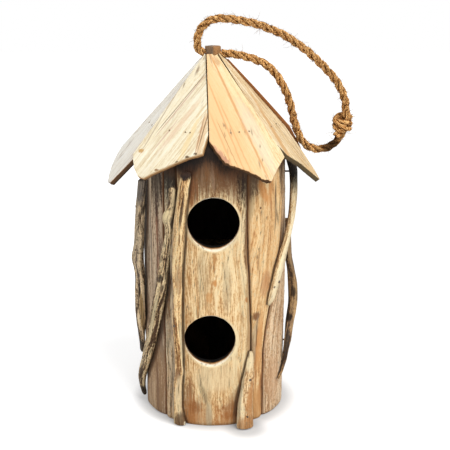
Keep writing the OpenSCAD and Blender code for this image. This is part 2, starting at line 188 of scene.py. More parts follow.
class Bench:
    """The node tree of a material or the world, and the few ways in which nodes are added to it."""

    def __init__(self, owner: bpy.types.Material | bpy.types.World) -> None:
        """Empties the owner's node tree."""
        owner.use_nodes = True
        self.owner = owner
        self.tree = owner.node_tree
        self.tree.nodes.clear()

    def add(self, kind: str, settings: dict, sockets: dict) -> bpy.types.Node:
        """Adds a node.

        Args:
            kind: The node's type.
            settings: Its properties, which are set first. A ramp's stops come as "stops", each a
                place and a tone.
            sockets: Values or links for its inputs, by name or number.

        Returns:
            The node.
        """
        node = self.tree.nodes.new(kind)
        for key, setting in settings.items():
            if key == "stops":
                elements = node.color_ramp.elements
                for place, _ in setting[len(elements):]:
                    elements.new(place)
                for element, (place, tone) in zip(elements, setting):
                    element.position = place
                    element.color = linear(tone)
            else:
                setattr(node, key, setting)
        for key, value in sockets.items():
            socket = node.inputs[key]
            value = value.socket if isinstance(value, Value) else value
            if isinstance(value, bpy.types.NodeSocket):
                self.tree.links.new(value, socket)
            else:
                socket.default_value = value
        return node

    def coordinates(self, source: Source) -> bpy.types.NodeSocket:
        """The place on the surface in millimetres: across the grain, depth, along the grain."""
        if source is Source.GRAIN:
            return self.add("ShaderNodeAttribute", {"attribute_name": GRAIN}, {}).outputs["Vector"]
        place = self.add("ShaderNodeTexCoord", {}, {}).outputs["Object"]
        return self.add("ShaderNodeVectorMath", {"operation": "MULTIPLY"},
                        {0: place, 1: (1 / MM,) * 3}).outputs[0]

    def share(self, name: str) -> Value:
        """A float attribute of the mesh, which is 0 where the mesh lacks it."""
        return Value(self, self.add("ShaderNodeAttribute", {"attribute_name": name}, {}).outputs["Fac"])

    def distance(self, vector: bpy.types.NodeSocket, spot: Sequence[float]) -> Value:
        """How far a place is from a spot."""
        node = self.add("ShaderNodeVectorMath", {"operation": "DISTANCE"}, {0: vector, 1: spot})
        return Value(self, node.outputs["Value"])

    def split(self, vector: bpy.types.NodeSocket) -> list[Value]:
        """The three parts of a vector."""
        return [Value(self, s) for s in self.add("ShaderNodeSeparateXYZ", {}, {0: vector}).outputs]

    def speckle(self, vector: bpy.types.NodeSocket, sizes: Sequence[float], detail: float = 2.0,
                shift: float = 0.0, crisp: float = 0.5) -> Value:
        """Noise from 0 to 1 with a mean of one half.

        Args:
            vector: The place in millimetres.
            sizes: The size of its spots along each axis, in millimetres.
            detail: How many finer layers it has.
            shift: Which part of the noise is used.
            crisp: The share of each finer layer.

        Returns:
            The noise.
        """
        place = self.add("ShaderNodeVectorMath", {"operation": "MULTIPLY_ADD"},
                         {0: vector, 1: [1 / s for s in sizes], 2: (shift, shift * 0.7, shift * 1.3)})
        node = self.add("ShaderNodeTexNoise", {"noise_dimensions": "3D"},
                        {"Vector": place.outputs[0], "Scale": 1.0, "Detail": detail, "Roughness": crisp})
        return Value(self, node.outputs[0])

    def blend(self, share: "Value | float", first: object, second: object) -> bpy.types.NodeSocket:
        """Mixes two colours, each a link, a tone or linear light."""
        first, second = (linear(c) if isinstance(c, str) else c for c in (first, second))
        return self.add("ShaderNodeMix", {"data_type": "RGBA", "clamp_factor": True},
                        {0: share, 6: first, 7: second}).outputs[2]

    def ramp(self, value: Value, *stops: tuple[float, str]) -> bpy.types.NodeSocket:
        """Colours a value by stops, each a place and a tone, in rising order."""
        return self.add("ShaderNodeValToRGB", {"stops": stops}, {0: value}).outputs[0]

    def finish(self, colour: object, roughness: "Value | float", height: Value | None = None,
               relief: float = 0.0, **constants: float) -> bpy.types.Material:
        """Joins the surface to the material's output.

        Args:
            colour: Base colour.
            roughness: Roughness.
            height: Fine relief from 0 to 1, or None.
            relief: How deep the relief is, in millimetres.
            constants: Other sockets of the shader, by name with _ for a space.

        Returns:
            The finished material.
        """
        sockets = {"Base Color": colour, "Roughness": roughness}
        sockets.update({key.replace("_", " "): value for key, value in constants.items()})
        if height is not None:
            sockets["Normal"] = self.add("ShaderNodeBump", {},
                                         {"Height": height, "Distance": relief * MM}).outputs[0]
        shader = self.add("ShaderNodeBsdfPrincipled", {}, sockets)
        self.add("ShaderNodeOutputMaterial", {}, {"Surface": shader.outputs[0]})
        return self.owner


class Layer(Enum):
    """One noise of the wood: spot sizes in millimetres, detail, shift of the seed and crispness."""

    DRIFT = ((22.0, 22.0, 60.0), 1.0, 0.0, 0.5)
    FIBRES = ((1.15, 1.15, 17.0), 4.0, 3.1, 0.68)
    BROAD = ((13.0, 13.0, 70.0), 2.0, 5.7, 0.5)
    VEINS = ((5.5, 5.5, 80.0), 1.0, 8.3, 0.5)
    DASHES = ((0.9, 0.9, 5.0), 1.0, 11.9, 0.5)
    SILVER = ((6.0, 6.0, 110.0), 3.0, 14.2, 0.5)
    GRIT = ((1.25, 1.25, 2.6), 3.0, 17.7, 0.7)


@dataclass(frozen=True)
class Stain:
    """A soft-edged patch of another tone, in a piece's own millimetres.

    across, along: its middle. wide, long: its half sizes. lean: how far it moves across for each
    millimetre along. ragged: how much the grain eats into its edge. soft: width of its edge.
    """

    across: float
    along: float
    wide: float
    long: float
    tone: str
    strength: float = 0.8
    lean: float = 0.0
    ragged: float = 0.6
    soft: float = 1.0


@dataclass(frozen=True)
class Wood:
    """A wood finish. Sizes are millimetres.

    band: width of the growth bands. run: length over which they keep their course. contrast:
    how far they differ. fibre: strength of the fine streaks. crack: share of hairline cracks.
    pores: strength of the small dark dashes. grey, greyed: tone and share of silvery weathering.
    grit: strength of the ingrained specks of dirt.
    turn: direction of the grain, in degrees from the piece's length. sway: how far the grain
    wanders. crack_tone: colour of the cracks, and on branches also of the painted shade on their
    sides. depths: tones further and further under the surface, as (depth, tone), the deeper of which
    are painted shade.
    """

    light: str
    body: str
    dark: str
    band: float = 3.0
    run: float = 90.0
    contrast: float = 1.0
    fibre: float = 0.6
    crack: float = 0.5
    pores: float = 0.4
    grey: str = "#9a9184"
    greyed: float = 0.2
    turn: float = 0.0
    sway: float = 9.0
    crack_tone: str = "#38271a"
    relief: float = 1.3
    grit: float = 0.6
    seed: float = 0.0
    depths: tuple[tuple[float, str], ...] = ()
    stains: tuple[Stain, ...] = ()
    source: Source = Source.GRAIN

    def build(self, name: str) -> bpy.types.Material:
        """Makes the material."""
        bench = Bench(bpy.data.materials.new(name))
        place = bench.coordinates(self.source)
        turned = bench.add("ShaderNodeVectorRotate", {"rotation_type": "Y_AXIS"},
                           {"Vector": place, "Angle": math.radians(self.turn)}).outputs[0]
        across, depth, along = bench.split(turned)
        drift = self._layer(bench, turned, Layer.DRIFT) - 0.5
        line = bench.add("ShaderNodeCombineXYZ", {},
                         {0: across + drift * self.sway, 1: depth, 2: along}).outputs[0]
        fibres, broad, veins, dashes, silver, grit = (
            self._layer(bench, line, layer) for layer in Layer if layer is not Layer.DRIFT)
        bands = bench.speckle(line, (self.band, self.band * 1.6, self.run), 3.0, self.seed)
        crack = abs(veins - 0.5).step(0.022, 0.006) * broad.step(0.42, 0.6) * self.crack
        pore = dashes.step(0.62, 0.74) * self.pores
        tone = (0.5 + (bands - 0.5) * (2.4 * self.contrast) + (fibres - 0.5) * (3.9 * self.fibre)
                + (broad - 0.5) * (1.3 * self.contrast) + (grit - 0.5) * (2.6 * self.grit))
        colour = bench.ramp(tone, (0.12, self.dark), (0.5, self.body), (0.88, self.light))
        colour = bench.blend(silver.step(0.5, 0.68) * self.greyed, colour, self.grey)
        edge = (fibres - 0.5) * 2.0 + (bands - 0.5) * 1.2 + (grit - 0.5) * 1.6
        colour = self._stained(bench, place, edge, colour)
        specks = (grit + (broad - 0.5) * 0.3).step(0.56, 0.7) * self.grit
        # Cracks and the groove attribute darken to crack_tone; on branches the groove attribute also holds
        # painted shade on their sides
        dark = (crack + (pore + specks) * 0.55 + bench.share(GROOVE)).step(0.0, 1.0)
        colour = bench.blend(dark * 0.85, colour, self.crack_tone)
        # Painted shade under the roof, beside the branches and in the seams darkens the wood to brown and
        # then near black
        soil = bench.share(SHADE_AND_SOIL) + edge * 0.22
        colour = bench.blend(soil.step(0.12, 0.6) * 0.6, colour, "#5b3a24")
        colour = bench.blend(soil.step(0.45, 0.95) * 0.95, colour, "#120b07")
        height = fibres * 0.6 + bands * 0.3 + grit * 0.4 - crack * 0.6 - specks * 0.3
        return bench.finish(colour, 0.7 + (fibres - 0.5) * 0.35, height, self.relief,
                            Specular_IOR_Level=0.25)

    def _layer(self, bench: Bench, line: bpy.types.NodeSocket, layer: Layer) -> Value:
        """One of the noises that every wood has."""
        sizes, detail, shift, crisp = layer.value
        return bench.speckle(line, sizes, detail, self.seed + shift, crisp)

    def _stained(self, bench: Bench, place: bpy.types.NodeSocket, edge: Value,
                 colour: bpy.types.NodeSocket) -> bpy.types.NodeSocket:
        """Lays the stains and then the tones under the surface over a colour.

        Args:
            bench: The material's bench.
            place: The place on the surface.
            edge: Grain that eats into the edges of the stains, around 0.
            colour: The bare wood.

        Returns:
            The stained colour.
        """
        x, y, z = bench.split(place)
        for stain in self.stains:
            rise = z - stain.along
            aside = (x - rise * stain.lean - stain.across) / stain.wide
            rise = rise / stain.long
            reach = aside * aside + rise * rise + edge * stain.ragged
            half = stain.soft / 2
            colour = bench.blend(reach.step(0.8 + half, 0.8 - half) * stain.strength, colour, stain.tone)
        shallow = 0.0
        for deep, shade in self.depths:
            colour = bench.blend((y + edge * 0.35).step(mix(shallow, deep, 0.35), deep), colour, shade)
            shallow = deep
        return colour


@dataclass(frozen=True)
class Coir:
    """Twisted coconut fibre, golden; lighter on the crowns of the strands as a painted highlight and dark
    in the grooves as painted shade.
    """

    # crown: tone of the painted highlight on the strands; groove: tone of the painted shade between them
    crown: str = "#ffcb86"
    body: str = "#bb7635"
    groove: str = "#2a1507"
    lit_crown_r: float = 3.0
    shaded_groove_r: float = 1.2

    def build(self, name: str) -> bpy.types.Material:
        """Makes the material, which reads the distance from the rope's middle as depth."""
        bench = Bench(bpy.data.materials.new(name))
        place = bench.coordinates(Source.GRAIN)
        fibres = bench.speckle(place, (0.8, 3.0, 2.4), 3.0, 1.3, 0.7)
        tufts = bench.speckle(place, (1.5, 1.5, 1.5), 3.0, 4.4, 0.7)
        out = bench.split(place)[1]
        # Painted highlight on the strands' crowns and painted shade in the grooves, by distance from the
        # rope's middle
        tone = out.step(self.shaded_groove_r, self.lit_crown_r) * 0.6 + (fibres - 0.5) * 3.0 + (tufts - 0.5) * 3.4
        colour = bench.ramp(tone, (0.0, self.groove), (0.36, self.body), (0.85, self.crown))
        soil = bench.share(SHADE_AND_SOIL) + (tufts - 0.5) * 1.2
        colour = bench.blend(soil.step(0.1, 0.8) * 0.9, colour, self.groove)
        return bench.finish(colour, 0.9, fibres + tufts, 1.3, Specular_IOR_Level=0.1)


@dataclass(frozen=True)
class OldSteel:
    """Dull nail steel with rust."""

    steel: str = "#6f675e"
    rust: str = "#5a3720"
    metal: float = 0.6

    def build(self, name: str) -> bpy.types.Material:
        """Makes the material on object coordinates."""
        bench = Bench(bpy.data.materials.new(name))
        spots = bench.speckle(bench.coordinates(Source.OBJECT), (0.7, 0.7, 0.7), 3.0)
        rusty = spots.step(0.42, 0.6)
        colour = bench.blend(rusty, self.steel, self.rust)
        return bench.finish(colour, rusty * 0.4 + 0.45, spots, 0.1, Metallic=self.metal)


# Relief and meshes


@dataclass(frozen=True)
class Crack:
    """A split in the wood from one place to another, each (across, along)."""

    start: tuple[float, float]
    end: tuple[float, float]
    width: float = 0.7
    depth: float = 0.9


@dataclass(frozen=True)
class Lump:
    """A knot that stands out from the wood, or a hollow where its height is negative."""

    across: float
    along: float
    radius: float
    height: float


class Tooling(Enum):
    """How the face of a piece was left: (swells, ridges, natural cracks, saw marks) in mm."""

    SPLIT = (0.55, 0.22, 0.9, 0.0)
    STRIPPED = (0.45, 0.1, 0.45, 0.0)
    SAWN = (0.3, 0.12, 0.4, 0.34)
    PLANED = (0.12, 0.05, 0.0, 0.0)
    WORN = (0.5, 0.08, 0.15, 0.0)
    BARKED = (0.75, 0.34, 0.8, 0.0)


class Carving(Enum):
    """One noise of a carved face: its sizes across and along the grain in mm, and its own seed."""

    SWELLS = (13.0, 55.0, 0.0)
    RIDGES = (1.7, 42.0, 7.0)
    FINE_RIDGES = (0.9, 16.0, 11.0)
    SAW_MARKS = (2.2, 9.0, 3.0)
    SPLITS = (5.5, 80.0, 19.0)
    SPLIT_PATCHES = (17.0, 75.0, 23.0)


@dataclass(frozen=True)
class Relief:
    """The carved shape of a wooden face.

    split_width, split_least, split_over: how wide the natural cracks are in their noise, and from
    which value of the patches they open and over what range.
    """

    tooling: Tooling
    seed: float = 0.0
    cracks: tuple[Crack, ...] = ()
    lumps: tuple[Lump, ...] = ()
    split_width: float = 0.045
    split_least: float = 0.02
    split_over: float = 0.25

    def height(self, across: float, along: float) -> tuple[float, float]:
        """The height of the face at a place.

        Args:
            across: Place across the grain.
            along: Place along the grain.

        Returns:
            The height in millimetres, and how deep in a groove the place is, from 0 to 1.
        """
        swells, ridges, natural, sawn = self.tooling.value
        lift = (swells * self._carved(Carving.SWELLS, across, along)
                + ridges * self._carved(Carving.RIDGES, across, along)
                + 0.5 * ridges * self._carved(Carving.FINE_RIDGES, across, along))
        if sawn:
            lift += sawn * self._carved(Carving.SAW_MARKS, across + along, across - along)
        split = 1.0 - abs(self._carved(Carving.SPLITS, across, along)) / self.split_width
        patch = self._carved(Carving.SPLIT_PATCHES, across, along)
        groove = max(split, 0.0) * ease((patch - self.split_least) / self.split_over)
        lift -= natural * groove
        for crack in self.cracks:
            share, gap = self._beside(crack, across, along)
            if 0.0 < share < 1.0 and gap < crack.width:
                cut = (1.0 - gap / crack.width) * min(1.0, 6 * share, 6 * (1 - share))
                lift -= crack.depth * cut
                groove = max(groove, cut)
        for lump in self.lumps:
            far = math.hypot(across - lump.across, (along - lump.along) * 0.75) / lump.radius
            if far < 3.0:
                rings = 0.12 * math.cos(far * 9) * math.exp(-far)
                lift += lump.height * math.exp(-far * far) + rings * lump.height
        return lift, min(groove, 1.0) * 0.9

    def _carved(self, carving: Carving, across: float, along: float) -> float:
        """One of the noises, from about -1 to 1."""
        wide, long, own = carving.value
        return ripple(across / wide, along / long, self.seed + own)

    def _beside(self, crack: Crack, across: float, along: float) -> tuple[float, float]:
        """How far along a crack a place is, from 0 to 1, and its distance from the crack."""
        rise = crack.end[1] - crack.start[1]
        if abs(rise) < 1e-6:
            return -1.0, 0.0
        share = (along - crack.start[1]) / rise
        middle = mix(crack.start[0], crack.end[0], share) + 0.7 * ripple(along / 7, self.seed, 31.0)
        return share, abs(across - middle)


class Shape:
    """A mesh in the making, in millimetres, with the grain attribute on its points."""

    def __init__(self) -> None:
        """Starts an empty mesh."""
        self.bm = bmesh.new()
        self.grain = self.bm.verts.layers.float_vector.new(GRAIN)
        self.groove = self.bm.verts.layers.float.new(GROOVE)
        self.soil = self.bm.verts.layers.float.new(SHADE_AND_SOIL)

    def reload(self, mesh: bpy.types.Mesh) -> None:
        """Starts again from a mesh that has the attributes."""
        self.bm = bmesh.new()
        self.bm.from_mesh(mesh)
        layers = self.bm.verts.layers
        self.grain = layers.float_vector[GRAIN]
        self.groove = layers.float[GROOVE]
        self.soil = layers.float[SHADE_AND_SOIL]

    def paint_shade_and_soil(self, amount: Callable[[Vector], float]) -> None:
        """Stores how dark each point is with painted shade or with soil, from 0 to 1."""
        for v in self.bm.verts:
            v[self.soil] = amount(v.co)

    def lay_sheet(self, across: int, along: int, lay: Place) -> list[bmesh.types.BMVert]:
        """Adds a grid of faces laid on a surface.

        Args:
            across: Faces across it.
            along: Faces along it.
            lay: Gives the point, the grain coordinates and the groove at a place from -1 to 1.

        Returns:
            The new points.
        """
        verts = bmesh.ops.create_grid(self.bm, x_segments=across, y_segments=along, size=1.0)["verts"]
        for v in verts:
            v.co, v[self.grain], v[self.groove] = lay(v.co.x, v.co.y)
        return verts

    def lay_tube(self, around: int, along: int, lay: Place) -> None:
        """Adds a closed tube, where a place across the sheet runs once round it."""
        verts = self.lay_sheet(around, along, lay)
        bmesh.ops.remove_doubles(self.bm, verts=verts, dist=1e-4)
        rim = {e for v in verts if v.is_valid for e in v.link_edges if e.is_boundary}
        bmesh.ops.holes_fill(self.bm, edges=list(rim), sides=0)

    def take(self, node: str) -> None:
        """Takes a merged copy of a node of the frame, with its flat faces whole."""
        self.bm.from_mesh(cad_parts[node].data)
        bmesh.ops.scale(self.bm, vec=(1 / MM,) * 3, verts=self.bm.verts)
        bmesh.ops.remove_doubles(self.bm, verts=self.bm.verts, dist=1e-3)
        bmesh.ops.dissolve_limit(self.bm, angle_limit=math.radians(1.0), verts=self.bm.verts,
                                 edges=self.bm.edges)

    def slice(self, middle: Vector, way: Vector, low: float, high: float, step: float) -> None:
        """Cuts the faces by planes square to a direction, at even steps from the middle."""
        count = int((high - low) / step)
        for i in range(1, count):
            spot = middle + way * (low + (high - low) * i / count)
            bmesh.ops.bisect_plane(self.bm, geom=[*self.bm.verts, *self.bm.edges, *self.bm.faces],
                                   plane_co=spot, plane_no=way, dist=1e-5)

    def soften(self, width: float, over: float, segments: int = 2) -> None:
        """Rounds the edges that are sharper than an angle, in degrees."""
        least = math.radians(over)
        edges = [e for e in self.bm.edges if e.is_manifold and e.calc_face_angle(0.0) > least]
        bmesh.ops.bevel(self.bm, geom=edges, offset=width, offset_type="OFFSET", segments=segments,
                        profile=0.5, affect="EDGES", material=-1, clamp_overlap=True)

    def place(self, name: str, finish: bpy.types.Material, body: str, slot: str, *nodes: str,
              crease: float = 38.0, recalculate: bool = True) -> bpy.types.Object:
        """Turns the mesh into metres and makes it a piece that rides on a body.

        Args:
            name: The piece's name.
            finish: Its material.
            body: The body that it rides on.
            slot: Not used.
            nodes: The nodes that it stands for.
            crease: Edges sharper than this angle stay sharp.
            recalculate: Whether the faces are turned outwards.

        Returns:
            The piece.
        """
        if recalculate:
            bmesh.ops.recalc_face_normals(self.bm, faces=self.bm.faces)
        bmesh.ops.scale(self.bm, vec=(MM,) * 3, verts=self.bm.verts)
        piece = mesh_object(name, self.bm)
        mesh = piece.data
        mesh.materials.append(finish)
        mesh.polygons.foreach_set("use_smooth", [True] * len(mesh.polygons))
        mesh.set_sharp_from_angle(angle=math.radians(crease))
        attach(piece, body)
        if nodes:
            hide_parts(*nodes)
        LOG.info("%s: %d faces", name, len(mesh.polygons))
        return piece

    def place_wood(self, node: str, wood: Wood, slot: str, recalculate: bool = True) -> None:
        """Makes the mesh the wooden piece of the house that stands for a node."""
        self.place(f"{node}_wood", wood.build(node), "house", slot, node, recalculate=recalculate)


# Camera, light and floor


@dataclass(frozen=True)
class Lamp:
    """A square soft box. Its place and its width are metres."""

    name: str
    spot: tuple[float, float, float]
    width: float
    watts: float


@dataclass(frozen=True)
class Studio:
    """A soft daylight studio with a white floor. Places of the eye and sizes are metres.

    floor_glow, far_glow, side_glow: light of the floor's own near the house, further off and at its
    left, so that it looks white. far: distances in millimetres over which far_glow grows, as
    side_from is for side_glow. contacts: (x, y, radius) in millimetres of what stands on the floor,
    round which a painted shadow darkens the floor down to contact_shade over contact_reach millimetres.
    """

    eye: tuple[float, float, float] = (0.0093, -0.850, 0.386)
    pitch: float = 15.54
    focal_px: float = 1090.6
    frame_px: float = 450.0
    sensor_mm: float = 36.0
    floor_size: float = 5.0
    floor_albedo: tuple[float, ...] = (0.8, 0.8, 0.8, 1.0)
    sky: float = 0.5
    lit_spot: tuple[float, float, float] = (0.0, 0.0, 0.14)
    lamps: tuple[Lamp, ...] = (
        Lamp("key", (0.7, -1.05, 1.9), 1.1, 37.0), Lamp("fill", (-1.3, -1.0, 0.7), 1.2, 2.5))
    floor_glow: float = 0.28
    far_glow: float = 0.5
    side_glow: float = 0.3
    far: tuple[float, float] = (60.0, 2500.0)
    side_from: float = 80.0
    contacts: tuple[tuple[float, float, float], ...] = ((0, 0, 57), (26, -63, 7))
    contact_reach: float = 15.0
    contact_shade: float = 0.62

    def camera(self) -> None:
        """Sets the scene's camera at the photograph's place."""
        data = bpy.data.cameras.new("camera")
        data.sensor_width = self.sensor_mm
        data.lens = self.focal_px / self.frame_px * self.sensor_mm
        camera = add_object("camera", data)
        camera.location = self.eye
        camera.rotation_euler = (math.radians(90 - self.pitch), 0.0, 0.0)
        bpy.context.scene.camera = camera

    def lamp(self, plan: Lamp) -> None:
        """Adds a lamp that faces the middle of the house."""
        data = bpy.data.lights.new(plan.name, "AREA")
        data.energy = plan.watts
        data.size = plan.width
        lamp = add_object(plan.name, data)
        lamp.location = plan.spot
        lamp.rotation_mode = "QUATERNION"
        way = Vector(self.lit_spot) - Vector(plan.spot)
        lamp.rotation_quaternion = way.to_track_quat("-Z", "Y")

    def light(self) -> None:
        """Sets the lamps and an even sky, which looks white to the camera."""
        for plan in self.lamps:
            self.lamp(plan)
        world = bpy.data.worlds.new("sky")
        bench = Bench(world)
        seen = self._seen(bench)
        strength = bench.add("ShaderNodeMix", {}, {0: seen, 2: self.sky, 3: 1.0}).outputs[0]
        background = bench.add("ShaderNodeBackground", {}, {"Color": WHITE, "Strength": strength})
        bench.add("ShaderNodeOutputWorld", {}, {"Surface": background.outputs[0]})
        bpy.context.scene.world = world
        bpy.context.scene.view_settings.view_transform = "Standard"

    def _seen(self, bench: Bench) -> bpy.types.NodeSocket:
        """A value that is 1 for camera, glossy and transmission rays."""
        rays = bench.add("ShaderNodeLightPath", {}, {}).outputs
        total = rays["Is Camera Ray"]
        for kind in ("Is Glossy Ray", "Is Transmission Ray"):
            total = bench.add("ShaderNodeMath", {"operation": "MAXIMUM"},
                              {0: total, 1: rays[kind]}).outputs[0]
        return total

    def floor(self) -> None:
        """Lays a white floor that keeps a soft shadow, and a painted shadow round what stands on it."""
        bench = Bench(bpy.data.materials.new("floor_white"))
        place = bench.coordinates(Source.OBJECT)
        # Painted contact shadow: the floor's colour and glow darken round what stands on it
        shade: Value | float = 1.0
        for x, y, r in self.contacts:
            clear = bench.distance(place, (x, y, 0.0)).step(r, r + self.contact_reach)
            shade = (clear * (1 - self.contact_shade) + self.contact_shade) * shade
        far = bench.distance(place, (0.0, 0.0, 0.0)).step(*self.far)
        left = bench.split(place)[0].step(0.0, -self.side_from)
        glow = (far * self.far_glow + left * self.side_glow + self.floor_glow) * shade
        tone = bench.blend(shade, BLACK, self.floor_albedo)
        plain = bench.add("ShaderNodeBsdfDiffuse", {}, {"Color": tone}).outputs[0]
        light = bench.add("ShaderNodeEmission", {}, {"Color": glow, "Strength": 1.0}).outputs[0]
        lit = bench.add("ShaderNodeAddShader", {}, {0: plain, 1: light}).outputs[0]
        choice = bench.add("ShaderNodeMixShader", {}, {0: self._seen(bench), 1: plain, 2: lit}).outputs[0]
        bench.add("ShaderNodeOutputMaterial", {}, {"Surface": choice})
        bm = bmesh.new()
        bmesh.ops.create_grid(bm, x_segments=1, y_segments=1, size=self.floor_size / 2)
        floor = mesh_object("floor", bm)
        floor.data.materials.append(bench.owner)


# Rope


@dataclass(frozen=True)
class Rope:
    """The coir rope: a free loop, the short run in the king post, and the knot.

    route: the loop's middle line from one mouth of the bore to the other, measured from the bore.
    strand_offset: distance of the strands' middles from the rope's. lay_length: length of one turn of
    the strands. strand_even, yarn_share, rough_share: a strand's radius, and how far its yarns and its
    roughness add to it, as shares of strand_r. fibre_soil: how dark the loose fibres are. fibre_root:
    where they start, as a share of the diameter. long_share: share of the fibres that are long.
    fibre_lean: how far they lean along the rope. long_swirl, short_swirl: how much they curl.
    knot_swell, knot_tilt: how far the knot's turns stray outwards and up.
    """

    diameter: float = 6.0
    loop_length: float = 336.0
    bore: tuple[float, float, float] = (0.0, 0.0, 287.83)
    exit_x: float = 6.5
    route: tuple[tuple[float, float, float], ...] = (
        (-9.5, 0, 1.6), (-12, 0, 5.6), (-12, 0, 11.5), (-10, 0.5, 17.5), (-5, 1, 23.2), (2, 1, 26.2),
        (13, 2, 26), (24, 3, 24.2), (34, 4, 21.8), (43, 5, 18.5), (53, 6, 14.4), (62.5, 7, 8.6),
        (72, 8, 2), (80, 9, -5), (88.5, 9, -13), (96, 9, -21.5), (101.5, 9, -30.5), (104.5, 9, -39),
        (105, 9, -47), (103.5, 9, -55), (102.5, 9, -64), (98, 9, -71.5), (91.5, 9.5, -76),
        (83.5, 10, -77.5), (75.5, 10, -75), (69.8, 10, -69), (66, 10, -60), (63.2, 9, -50),
        (61, 8, -41), (57.8, 7, -32), (53.5, 5.5, -23.5), (48, 4, -15.5), (41, 3, -9), (32, 2, -4.8),
        (22.5, 1, -2), (14, 0, -0.4))
    knot_centre: tuple[float, float, float] = (103.6, 9, -54.5)
    strands: int = 3
    strand_r: float = 1.72
    strand_offset: float = 1.6
    lay_length: float = 25.0
    yarns: int = 5
    strand_even: float = 0.92
    yarn_share: float = 0.1
    rough_share: float = 0.2
    ring_step: float = 0.75
    strand_sides: int = 15
    fibre_count: int = 1300
    fibre_batches: int = 40
    fibre_r: float = 0.15
    fibre_soil: float = 0.5
    fibre_root: float = 0.44
    long_share: float = 0.085
    long_length: tuple[float, float] = (4.5, 10.0)
    short_length: tuple[float, float] = (0.9, 2.8)
    fibre_lean: float = 1.4
    long_swirl: float = 1.6
    short_swirl: float = 0.5
    curve_steps: int = 24
    knot_shift: tuple[float, float, float] = (-1.2, 0.0, -1.2)
    knot_turns: float = 2.15
    knot_steps: int = 26
    knot_r: float = 5.0
    knot_start: float = -40.0
    knot_swell: float = 0.5
    knot_tilt: float = 1.2
    knot_rise: tuple[float, float] = (4.6, -4.4)
    knot_head: tuple[tuple[float, float, float], ...] = ((2.4, -4.2, 9.2), (3.4, -5.0, 6.6))
    knot_tails: tuple[tuple[float, float, float], ...] = ((-2.6, -3.6, -8.2), (-4.6, -4.4, -11.0))
    scorched: tuple[float, float, float] = (94.0, 9.0, -74.0)
    scorched_r: float = 15.0

    def build(self) -> None:
        """Makes the three pieces and their loose fibres."""
        coir = Coir().build("coir_rope")

        def hang(shape: Shape, name: str, *nodes: str) -> bpy.types.Object:
            """Makes a shape a piece that rides on the hanger."""
            return shape.place(name, coir, "hanger", "coir_rope", *nodes, crease=180.0)

        start = Vector((-self.exit_x, 0, 0))
        end = Vector((self.exit_x, 0, 0))
        ring = self._smooth([start, *(Vector(p) for p in self.route), end])
        loop = Shape()
        self._twist(loop, ring)
        dark = Vector(self.bore) + Vector(self.scorched)
        loop.paint_shade_and_soil(lambda point: 0.9 * (1 - ease((point - dark).length / self.scorched_r)))
        rope = hang(loop, "rope_loop_twisted", "rope_loop")
        bight = Shape()
        self._twist(bight, self._smooth([start, end]))
        hang(bight, "rope_in_post", "rope_bight")
        tie = self._smooth(self._knot_route())
        knot = Shape()
        self._twist(knot, tie)
        knot_piece = hang(knot, "rope_knot_tied", "rope_knot")
        fuzz = Shape()
        chance = random.Random(7)
        batch = self.fibre_count // self.fibre_batches
        for _ in range(self.fibre_batches):
            self._fray(fuzz, ring, batch, chance)
            self._fray(fuzz, tie, batch // 4, chance)
        fibres = hang(fuzz, "rope_fibres")
        path = [tuple(p * MM) for p in ring[::4]] + [tuple(ring[-1] * MM)]
        tuple(ring[0] * MM)

    def _smooth(self, points: list[Vector]) -> list[Vector]:
        """Even steps along a smooth curve through points that are measured from the bore."""
        ends = [points[0] * 2 - points[1], *points, points[-1] * 2 - points[-2]]
        fine = []
        for i in range(1, len(ends) - 2):
            before, here, after, beyond = ends[i - 1:i + 3]
            for j in range(self.curve_steps):
                t = j / self.curve_steps
                fine.append(0.5 * (2 * here + (after - before) * t
                                   + (2 * before - 5 * here + 4 * after - beyond) * t * t
                                   + (3 * here - before - 3 * after + beyond) * t ** 3))
        fine.append(points[-1].copy())
        total = sum((b - a).length for a, b in zip(fine, fine[1:]))
        count = max(2, round(total / self.ring_step))
        even, gone, k = [], 0.0, 0
        for i in range(count + 1):
            want = total * i / count
            while k < len(fine) - 2 and gone + (fine[k + 1] - fine[k]).length < want:
                gone += (fine[k + 1] - fine[k]).length
                k += 1
            piece = (fine[k + 1] - fine[k]).length
            even.append(fine[k].lerp(fine[k + 1], min(1.0, (want - gone) / piece)) + Vector(self.bore))
        return even

    def _knot_route(self) -> list[Vector]:
        """Two turns of the rope round its own run, and the two short ends."""
        points = [Vector(p) for p in self.knot_head]
        for i in range(self.knot_steps + 1):
            share = i / self.knot_steps
            angle = math.radians(self.knot_start + 360 * self.knot_turns * share)
            r = self.knot_r + self.knot_swell * math.sin(5 * share * math.pi)
            tilt = self.knot_tilt * math.sin(angle + 0.6)
            rise = mix(*self.knot_rise, share) + tilt
            points.append(Vector((r * math.cos(angle), r * math.sin(angle), rise)))
        points += [Vector(p) for p in self.knot_tails]
        middle = Vector(self.knot_centre) + Vector(self.knot_shift)
        return [middle + p for p in points]

    def _frames(self, line: list[Vector]) -> list[tuple[Vector, Vector]]:
        """Two directions square to the line at each of its points, without any twist."""
        side = Vector((0, 1, 0))
        frames = []
        for i, point in enumerate(line):
            way = (line[min(i + 1, len(line) - 1)] - line[max(i - 1, 0)]).normalized()
            side = (side - way * side.dot(way)).normalized()
            frames.append((side, way.cross(side)))
        return frames

    def _strand(self, line: list[Vector], frames: list[tuple[Vector, Vector]], i: int,
                strand: int) -> tuple[Vector, float]:
        """The middle of a strand at a point of the line, and its angle round the rope."""
        angle = 2 * math.pi * (i * self.ring_step / self.lay_length + strand / self.strands)
        side, up = frames[i]
        return line[i] + (side * math.cos(angle) + up * math.sin(angle)) * self.strand_offset, angle

